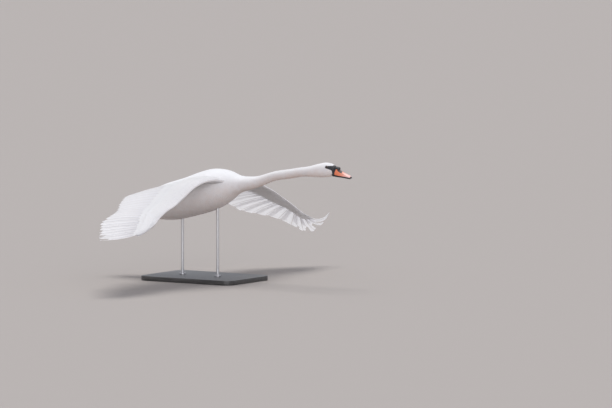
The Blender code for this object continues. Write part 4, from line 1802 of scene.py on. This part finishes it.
@dataclass
class SwanBill:
    """The two halves of the bill and the knob over its base."""

    # f, then u of the culmen, the gape and the keel below it, and the half width
    table: Array = field(default_factory=lambda: np.array((
        (0.6680, 0.1370, 0.1010, 0.0950, 0.0190), (0.6800, 0.1358, 0.1000, 0.0935, 0.0180),
        (0.6910, 0.1320, 0.0990, 0.0925, 0.0172), (0.7020, 0.1258, 0.0978, 0.0917, 0.0166),
        (0.7150, 0.1190, 0.0966, 0.0908, 0.0162), (0.7280, 0.1128, 0.0953, 0.0896, 0.0161),
        (0.7420, 0.1076, 0.0940, 0.0876, 0.0160), (0.7545, 0.1026, 0.0922, 0.0860, 0.0146),
        (0.7610, 0.0983, 0.0903, 0.0856, 0.0110), (0.7640, 0.0940, 0.0883, 0.0862, 0.0050),
    )))
    ring_count: int = 110
    top_points: int = 45
    flat_points: int = 12
    gap: float = 0.0006
    hollow: float = 0.0012
    waist: float = 0.10
    lower_share: float = 0.86
    lower_end: float = 0.7570
    orange_from: float = 0.6835
    edge_height: float = 0.0028
    # the nail's black starts only at the very tip, so that the tip's painted highlight shows before it
    nail_from: float = 0.7604
    nail_slant: float = 0.20
    nail_rise: float = 0.0007
    # f, u and slope of the nostril, its half length and height, and those of the black streak round it
    nostril: Sizes = (0.7055, 0.1205, -0.50)
    nostril_reach: Sizes = (0.0068, 0.0017)
    nostril_deep: float = 0.0016
    streak_reach: Sizes = (0.0150, 0.0034)
    knob_centre: Sizes = (0.6880, 0.1316)
    knob_radii: Array = field(default_factory=lambda: np.array((0.0150, 0.0104, 0.0104)))
    knob_tail: float = 1.45
    knob_wrinkle: float = 0.02
    inside_black: float = -0.01

    def read(self, column: int, f: Number) -> Array:
        """One column of the table at f."""
        return curve(f, self.table[:, 0], self.table[:, column])

    def half(self, upper: bool) -> Shape:
        """One half of the bill, flat along the gape and arched to its crest.

        Args:
            upper: Whether it is the upper half.

        Returns:
            Its points and faces.
        """
        sign, end = (1, self.table[-1, 0]) if upper else (-1, self.lower_end)
        turn = np.linspace(0.0, math.pi, self.top_points)
        back = np.linspace(math.pi, TURN, self.flat_points)[1:-1]
        side, rise = np.copysign(np.abs(np.cos(turn)) ** 0.80, np.cos(turn)), np.abs(np.sin(turn)) ** 0.85
        rings = []
        for f in blend(self.table[0, 0], end, 1 - (1 - np.linspace(0.0, 1.0, self.ring_count)) ** 1.25):
            gape = self.read(2, f) + sign * self.gap / 2
            crest, wide = self.read(1 if upper else 3, f), self.read(4, f)
            narrow = 1.0
            if upper:
                narrow = 1 - self.waist * np.sin(math.pi * rise) * ease(0.69, 0.72, f)
            else:
                wide = wide * self.lower_share * math.sqrt(max(0.02, 1 - ease(0.735, end, f) ** 2 * 0.9))
            top = to_frame(f, side * wide * narrow, blend(gape, crest, rise))
            flat = to_frame(f, wide * np.cos(back), gape + sign * self.hollow * np.sin(back - math.pi))
            rings.append(np.concatenate((top, flat)))
        return tube(rings)

    def nostril_share(self, f: Array, u: Array, reach: tuple[float, float]) -> Array:
        """Distance from the nostril's middle, 1 on the rim of an oval of that reach.

        Args:
            f: Forward place.
            u: Height.
            reach: Half length and half height of the oval.

        Returns:
            The distance.
        """
        middle_f, middle_u, slope = self.nostril
        cos, sin = math.cos(math.atan(slope)), math.sin(math.atan(slope))
        along = (f - middle_f) * cos + (u - middle_u) * sin
        over = (u - middle_u) * cos - (f - middle_f) * sin
        return np.hypot(along / reach[0], over / reach[1])

    def black_edge(self, points: Array) -> Array:
        """Distance outside the black parts of the upper half, negative inside them.

        Args:
            points: The points.

        Returns:
            The distance at each point, in metres.
        """
        f, s, u = to_bird(points)
        height = u - self.read(2, f)
        base = f - (self.orange_from - 0.002 + 0.004 * ease(0.012, 0.030, height))
        edge = height - self.edge_height * (1 + 0.5 * (1 - ease(0.685, 0.70, f)))
        nail = self.nail_from + self.nail_slant * np.abs(s) - f
        streak = (self.nostril_share(f, u, self.streak_reach) - 1) * self.streak_reach[1]
        rim = (self.nostril_share(f, u, self.nostril_reach) - 1.35) * 0.002
        return np.minimum.reduce((base, edge, nail, streak, rim))

    def shape(self, mesh: Mesh) -> None:
        """Sinks the nostrils and raises the nail on the upper half.

        Args:
            mesh: The upper half's mesh.
        """
        points = vertex_points(mesh)
        f, s, u = to_bird(points)
        sunk = 1 - ease(0.35, 1.15, self.nostril_share(f, u, self.nostril_reach))
        points[:, 1] -= np.sign(s) * self.nostril_deep * sunk * (np.abs(s) > 0.003)
        nail = ease(0.0, 0.0035, f - self.nail_from - self.nail_slant * np.abs(s))
        points[:, 2] += self.nail_rise * nail * ease(0.0, 0.004, u - self.read(2, f))
        mesh.vertices.foreach_set("co", points.astype(np.float32).ravel())
        mesh.update()

    def knob(self) -> Shape:
        """The low black knob over the base of the bill, its rear half drawn out.

        Returns:
            Its points and faces.
        """
        centre = to_frame(self.knob_centre[0], 0.0, self.knob_centre[1])
        turn = circle(40)
        rings = []
        for a in np.linspace(0.0, math.pi, 30)[1:-1]:
            wrinkle = 1 + self.knob_wrinkle * np.sin(5 * turn + 4 * a) * math.sin(a)
            offset = stack(math.cos(a), np.cos(turn) * math.sin(a), np.sin(turn) * math.sin(a))
            tail = (self.knob_tail if a > math.pi / 2 else 1.0, 1.0, 1.0)
            rings.append(centre + offset * self.knob_radii * tail * wrinkle[:, None])
        return tube(rings)

    def build(self, horn: Material) -> None:
        """Makes the bill's pieces.

        Args:
            horn: The bill's material.
        """
        start, end = self.orange_from, self.table[-1, 0]
        for name, shape, slot, node in (
            ("bill_upper_horn", self.half(True), "bill_orange", "bill_upper"),
            ("bill_lower_horn", self.half(False), "bill_black", "bill_lower"),
            ("bill_knob_skin", self.knob(), "bill_black", "bill_knob"),
        ):
            mesh = solid(name, shape)
            points = vertex_points(mesh)
            upper = node == "bill_upper"
            black = self.black_edge(points) if upper else np.full(len(points), self.inside_black)
            set_values(mesh, "black_edge", black)
            set_values(mesh, "tipward", (to_bird(points)[0] - start) / (end - start))
            if upper:
                self.shape(mesh)
            dress(mesh, name, horn, slot, node)


# ---- legs and feet
@dataclass
class SwanFoot:
    """One leg and its folded webbed foot, trailing under the tail, with its claws."""

    side: Side
    # f and u of the leg's start, of the joint and of the toes' end
    start: Sizes = (-0.330, -0.130)
    joint: Sizes = (-0.425, -0.180)
    end: Sizes = (-0.556, -0.207)
    span: float = 0.050
    leg_radii: Sizes = (0.0092, 0.0062)
    toe_radii: Sizes = (0.0046, 0.0021)
    hind_radii: Sizes = (0.0034, 0.0016)
    half_width: Sizes = (0.0070, 0.0200)
    toe_sag: float = 0.0015
    reaches: Sizes = (0.78, 0.97, 0.89)
    web_reaches: Sizes = (0.80, 0.84)
    web_back: float = 0.02
    hind_way: Array = field(default_factory=lambda: np.array((-0.0130, -0.010, -0.006)))
    knuckles: int = 4
    claw_length: float = 0.0085
    claw_hook: float = 0.30
    joint_swell: float = 0.22
    joint_spread: float = 0.10
    knuckle_swell: float = 0.16
    web_columns: int = 24
    web_rows: int = 20
    web_thick: float = 0.0006
    web_sag: float = 0.0030

    def line(self, across: float, share: Array) -> Array:
        """Points along a toe: across runs from -1 to 1 between the outer toes, share from joint to end.

        Args:
            across: The toe's place across the foot.
            share: Shares along the toe.

        Returns:
            The points.
        """
        width = blend(*self.half_width, np.minimum(1.0, 1.6 * share)) * across
        f, u = (blend(a, b, share) for a, b in zip(self.joint, self.end))
        return to_frame(f, self.side * (self.span + width), u)

    def rod(self, path: Array, radii: Array, flat: float, count: int = 14) -> Shape:
        """A rod along a path, flattened by that share from above.

        Args:
            path: Its middle line.
            radii: Its radius at each point.
            flat: Height as a share of width.
            count: Points round it.

        Returns:
            Its points and faces.
        """
        ahead = unit(np.gradient(path, axis=0))
        across = unit(np.cross(UP, ahead))
        turn = circle(count)
        return tube([
            p + (np.outer(np.cos(turn), a) + np.outer(np.sin(turn), o) * flat) * r
            for p, a, o, r in zip(path, across, np.cross(ahead, across), radii)
        ])

    def shapes(self) -> tuple[list[Shape], list[Shape]]:
        """The scaly skin of leg, toes and web, and the claws.

        Returns:
            The skin's shapes and the claws' shapes.
        """
        share = np.linspace(0.0, 1.0, 26)
        f, u = (blend(a, b, share) for a, b in zip(self.start, self.joint))
        leg = to_frame(f, self.side * self.span, u)
        swell = 1 + self.joint_swell * np.exp(-(((share - 1.0) / self.joint_spread) ** 2))
        skin, claws = [self.rod(leg, blend(*self.leg_radii, share) * swell, 0.9, 18)], []
        for across, reach in zip((-1.0, 0.0, 1.0), self.reaches):
            path = self.line(across, share * reach)
            path[:, 2] -= self.toe_sag * np.sin(share * math.pi)
            swell = 1 + self.knuckle_swell * np.cos(share * self.knuckles * TURN) * ease(0.0, 0.1, share)
            skin.append(self.rod(path, blend(*self.toe_radii, share) * swell, 0.85))
            out = np.linspace(-0.15, 1.0, 12)
            claw = path[-1] + np.outer(out, unit(path[-1] - path[-4])) * self.claw_length
            out = np.clip(out, 0, 1)
            claw[:, 2] -= self.claw_length * self.claw_hook * out**2
            claws.append(self.rod(claw, self.toe_radii[1] * np.sqrt(1.02 - out), 0.8, 10))
        hind = leg[-2] + np.outer(share, self.hind_way * (1, self.side, 1))
        skin.append(self.rod(hind, blend(*self.hind_radii, share), 0.9, 10))
        return [*skin, self.web()], claws

    def web(self) -> Shape:
        """The thin web between the toes, sagging in folds between them.

        Returns:
            Its points and faces.
        """
        columns, rows, width = self.web_columns, self.web_rows, self.web_rows + 1
        (right, middle, left), (inner, outer) = self.reaches, self.web_reaches
        edge = (right, inner, middle, outer, left)
        lines = []
        for across in np.linspace(-1.0, 1.0, columns + 1):
            reach = np.interp(across, (-1, -0.5, 0, 0.5, 1), edge) - self.web_back
            line = self.line(across, np.linspace(self.web_back, 1.0, width) * reach)
            line[:, 2] -= self.web_sag * math.sin(math.pi * abs(across)) * np.linspace(0, 1, width)
            lines.append(line)
        thick = self.web_thick
        points = [tuple(p + UP * way) for way in (thick, -thick) for line in lines for p in line]
        below = (columns + 1) * width
        faces = []
        for a in (c * width + r for c in range(columns) for r in range(rows)):
            b = a + width
            faces.append((a, b, b + 1, a + 1))
            faces.append((a + below, a + 1 + below, b + 1 + below, b + below))
        rim = [c * width for c in range(columns + 1)] + [columns * width + r for r in range(1, width)]
        rim += [c * width + rows for c in range(columns - 1, -1, -1)] + list(range(rows - 1, 0, -1))
        faces += [(a, b, b + below, a + below) for a, b in zip(rim, rim[1:] + rim[:1])]
        return points, faces

    def build(self, skin_finish: Material, claw_finish: Material) -> None:
        """Makes the leg, foot and claws.

        Args:
            skin_finish: Material of the skin.
            claw_finish: Material of the claws.
        """
        skin, claws = self.shapes()
        side = self.side.label
        name = f"foot_skin_{side}"
        dress(solid(name, *skin), name, skin_finish, "foot", f"leg_{side}", f"foot_{side}")
        dress(solid(f"claws_{side}", *claws), f"claws_{side}", claw_finish, "foot")


# ---- stand
@dataclass
class DisplayStand:
    """The flat base and the two rods, with a collar at each rod's foot."""

    corner: float = 0.045
    edge: float = 0.0030
    rods: tuple[str, ...] = ("stand_rod_front", "stand_rod_rear")
    collar_radius: float = 0.0150
    collar_height: float = 0.0065

    def base(self) -> Shape:
        """The base, with round corners and softened edges.

        Returns:
            Its points and faces.
        """
        low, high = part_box("stand_base")
        length, width, _ = (high - low) / 2
        radius = self.corner
        outline = np.array([
            (x * (length - radius) + radius * math.cos(a), y * (width - radius) + radius * math.sin(a), 0.0)
            for quarter, (x, y) in enumerate(((1, 1), (-1, 1), (-1, -1), (1, -1)))
            for a in np.linspace(0, math.pi / 2, 15) + quarter * math.pi / 2
        ])
        rings = []
        for a in np.linspace(0, math.pi / 2, 6):
            inset, rise = self.edge * (1 - math.sin(a)), self.edge * (1 - math.cos(a))
            rings.append(outline * (1 - inset / length) + UP * (low.z + rise))
        rings += [ring * (1, 1, -1) + (0, 0, low.z + high.z) for ring in reversed(rings)]
        return tube(rings)

    def rod(self, node: str) -> Shape:
        """One rod with its collar.

        Args:
            node: The name of the rod's solid.

        Returns:
            Its points and faces.
        """
        low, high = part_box(node)
        middle, radius = (low + high) / 2, (high.x - low.x) / 2
        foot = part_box("stand_base")[1].z
        wide, top = self.collar_radius, foot + self.collar_height
        # the radius and height of each corner, from the middle underneath to the middle on top
        profile = (
            (0.0005, foot + 0.0001), (wide - 0.0006, foot + 0.0001), (wide, foot + 0.0007),
            (wide, top - 0.0012), (wide - 0.0012, top), (radius + 0.0005, top), (radius, top + 0.0005),
            (radius, high.z - 0.0005), (0.0005, high.z - 0.0003),
        )
        turn = circle(48)
        return tube([stack(middle.x + r * np.cos(turn), middle.y + r * np.sin(turn), z) for r, z in profile])

    def build(self, wood: Material, steel: Material) -> None:
        """Makes the stand's pieces.

        Args:
            wood: The base's material.
            steel: The rods' material.
        """
        meshes = [dress(solid("stand_board", self.base()), "stand_board", wood, "base", "stand_base")]
        for node in self.rods:
            name = f"{node}_steel"
            meshes.append(dress(solid(name, self.rod(node)), name, steel, "rod", node))
        for mesh in meshes:
            mesh.set_sharp_from_angle(angle=SHARP_EDGE)


# ---- studio
@dataclass
class Studio:
    """Camera, floor and soft light."""

    azimuth: float = math.radians(33.0)
    elevation: float = math.radians(5.0)
    distance: float = 40.0
    lens: float = 498.8
    sensor: float = 36.0
    aim_right: float = 0.4292
    aim_down: float = 0.066
    half_floor: float = 200.0
    lamp_distance: float = 5.0
    # strength, and how wide each lamp looks, in degrees
    key: float = 2.0
    key_spread: float = 35.0
    fill: float = 1.4
    fill_spread: float = 50.0
    sky: float = 0.66

    def ways(self) -> tuple[Vector, Vector, Vector]:
        """The camera's ways back, right and up.

        Returns:
            Three unit vectors.
        """
        a, e = self.azimuth, self.elevation
        back = Vector((math.sin(a) * math.cos(e), -math.cos(a) * math.cos(e), math.sin(e)))
        right = Vector((math.cos(a), math.sin(a), 0.0))
        return back, right, back.cross(right)

    @staticmethod
    def put(name: str, data: bpy.types.ID, place: Vector, way: Vector, *axes: str) -> Object:
        """Puts a camera or a lamp at a place round the bird's origin, the first of its axes along a way.

        Args:
            name: The object's name.
            data: The camera or lamp.
            place: Where it stands.
            way: The way its first axis runs.
            *axes: The axes that are turned.

        Returns:
            The object.
        """
        made = bpy.data.objects.new(name, data)
        bpy.context.scene.collection.objects.link(made)
        made.location = Vector(ORIGIN) + place
        made.rotation_mode = "QUATERNION"
        made.rotation_quaternion = way.to_track_quat(*axes)
        return made

    def camera(self) -> None:
        """Sets the camera."""
        back, right, up = self.ways()
        data = bpy.data.cameras.new("camera")
        data.lens, data.sensor_width = self.lens, self.sensor
        data.clip_start, data.clip_end = 1.0, 1000.0
        place = right * self.aim_right - up * self.aim_down + back * self.distance
        bpy.context.scene.camera = self.put("camera", data, place, -back, "-Z", "Y")

    def lamp(self, name: str, way: Vector, spread: float, strength: float, colour: Colour) -> None:
        """Adds a broad far lamp: way points at it, and spread is how wide it looks.

        Args:
            name: The lamp's name.
            way: The way to it.
            spread: Its width in degrees.
            strength: Its strength.
            colour: Its colour.
        """
        data = bpy.data.lights.new(name, "SUN")
        data.angle, data.energy, data.color = math.radians(spread), strength, colour
        self.put(name, data, way.normalized() * self.lamp_distance, way, "Z", "Y")

    def build(self) -> None:
        """Makes floor, light and camera."""
        shade = Shade("pale_floor")
        half, mesh = self.half_floor, bpy.data.meshes.new("floor")
        corners = [(-half, -half, 0), (half, -half, 0), (half, half, 0), (-half, half, 0)]
        mesh.from_pydata(corners, [], [(0, 1, 2, 3)])
        mesh.materials.append(shade.close(Base_Color=Tint.FLOOR, Roughness=0.9, Specular_IOR_Level=0.1))
        new_piece(mesh, "floor")
        back, right, _ = self.ways()
        up = Vector(UP)
        self.lamp("key", up * 2.6 - back * 0.8 - right * 0.2, self.key_spread, self.key, Tint.KEY)
        self.lamp("fill", back + up * 0.03 + right * 0.1, self.fill_spread, self.fill, Tint.FILL)
        world = bpy.data.worlds.new("studio")
        world.use_nodes = True
        sky = world.node_tree.nodes["Background"].inputs
        sky["Color"].default_value, sky["Strength"].default_value = (*Tint.SKY, 1.0), self.sky
        bpy.context.scene.world = world
        bpy.context.scene.view_settings.view_transform = "Standard"
        self.camera()


def main() -> None:
    """Builds the swan, its stand and the studio."""
    logging.basicConfig(level=logging.INFO, format="%(message)s")
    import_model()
    flight = Plumage(
        "flight_feather", Tint.FLIGHT_FEATHER, 190.0, 70.0, 0.0001, shaft_width=0.03, glow=0.42,
    ).material()
    covert = Plumage("covert_feather", Tint.COVERT, 60.0, glow=0.38).material()
    contour = Plumage("contour_feather", Tint.CONTOUR, 14.0, 6.0, glow=0.12).material()
    skin = SwanHide().material()
    form, eyes = BodyForm(), SwanEyes()
    wings = [WingSheet(side) for side in Side]
    SwanSkin().build(form, wings, skin)
    BodyCoat(form, to_frame(*eyes.centre)).build(contour)
    for wing in wings:
        WingPlumage(wing).build(flight, covert)
    TailPlumage(TailSheet()).build(flight, covert)
    eyes.build(EyeGlaze().material(), skin)
    SwanBill().build(BillHorn().material())
    foot = Leather("foot_leather", 520.0, 0.55).material()
    claw = Leather("claw_horn", 90.0, 0.35).material()
    for side in Side:
        SwanFoot(side).build(foot, claw)
    DisplayStand().build(StainedWood().material(), BrushedSteel().material())
    Studio().build()
    bpy.context.view_layer.update()


if __name__ == "__main__":
    main()
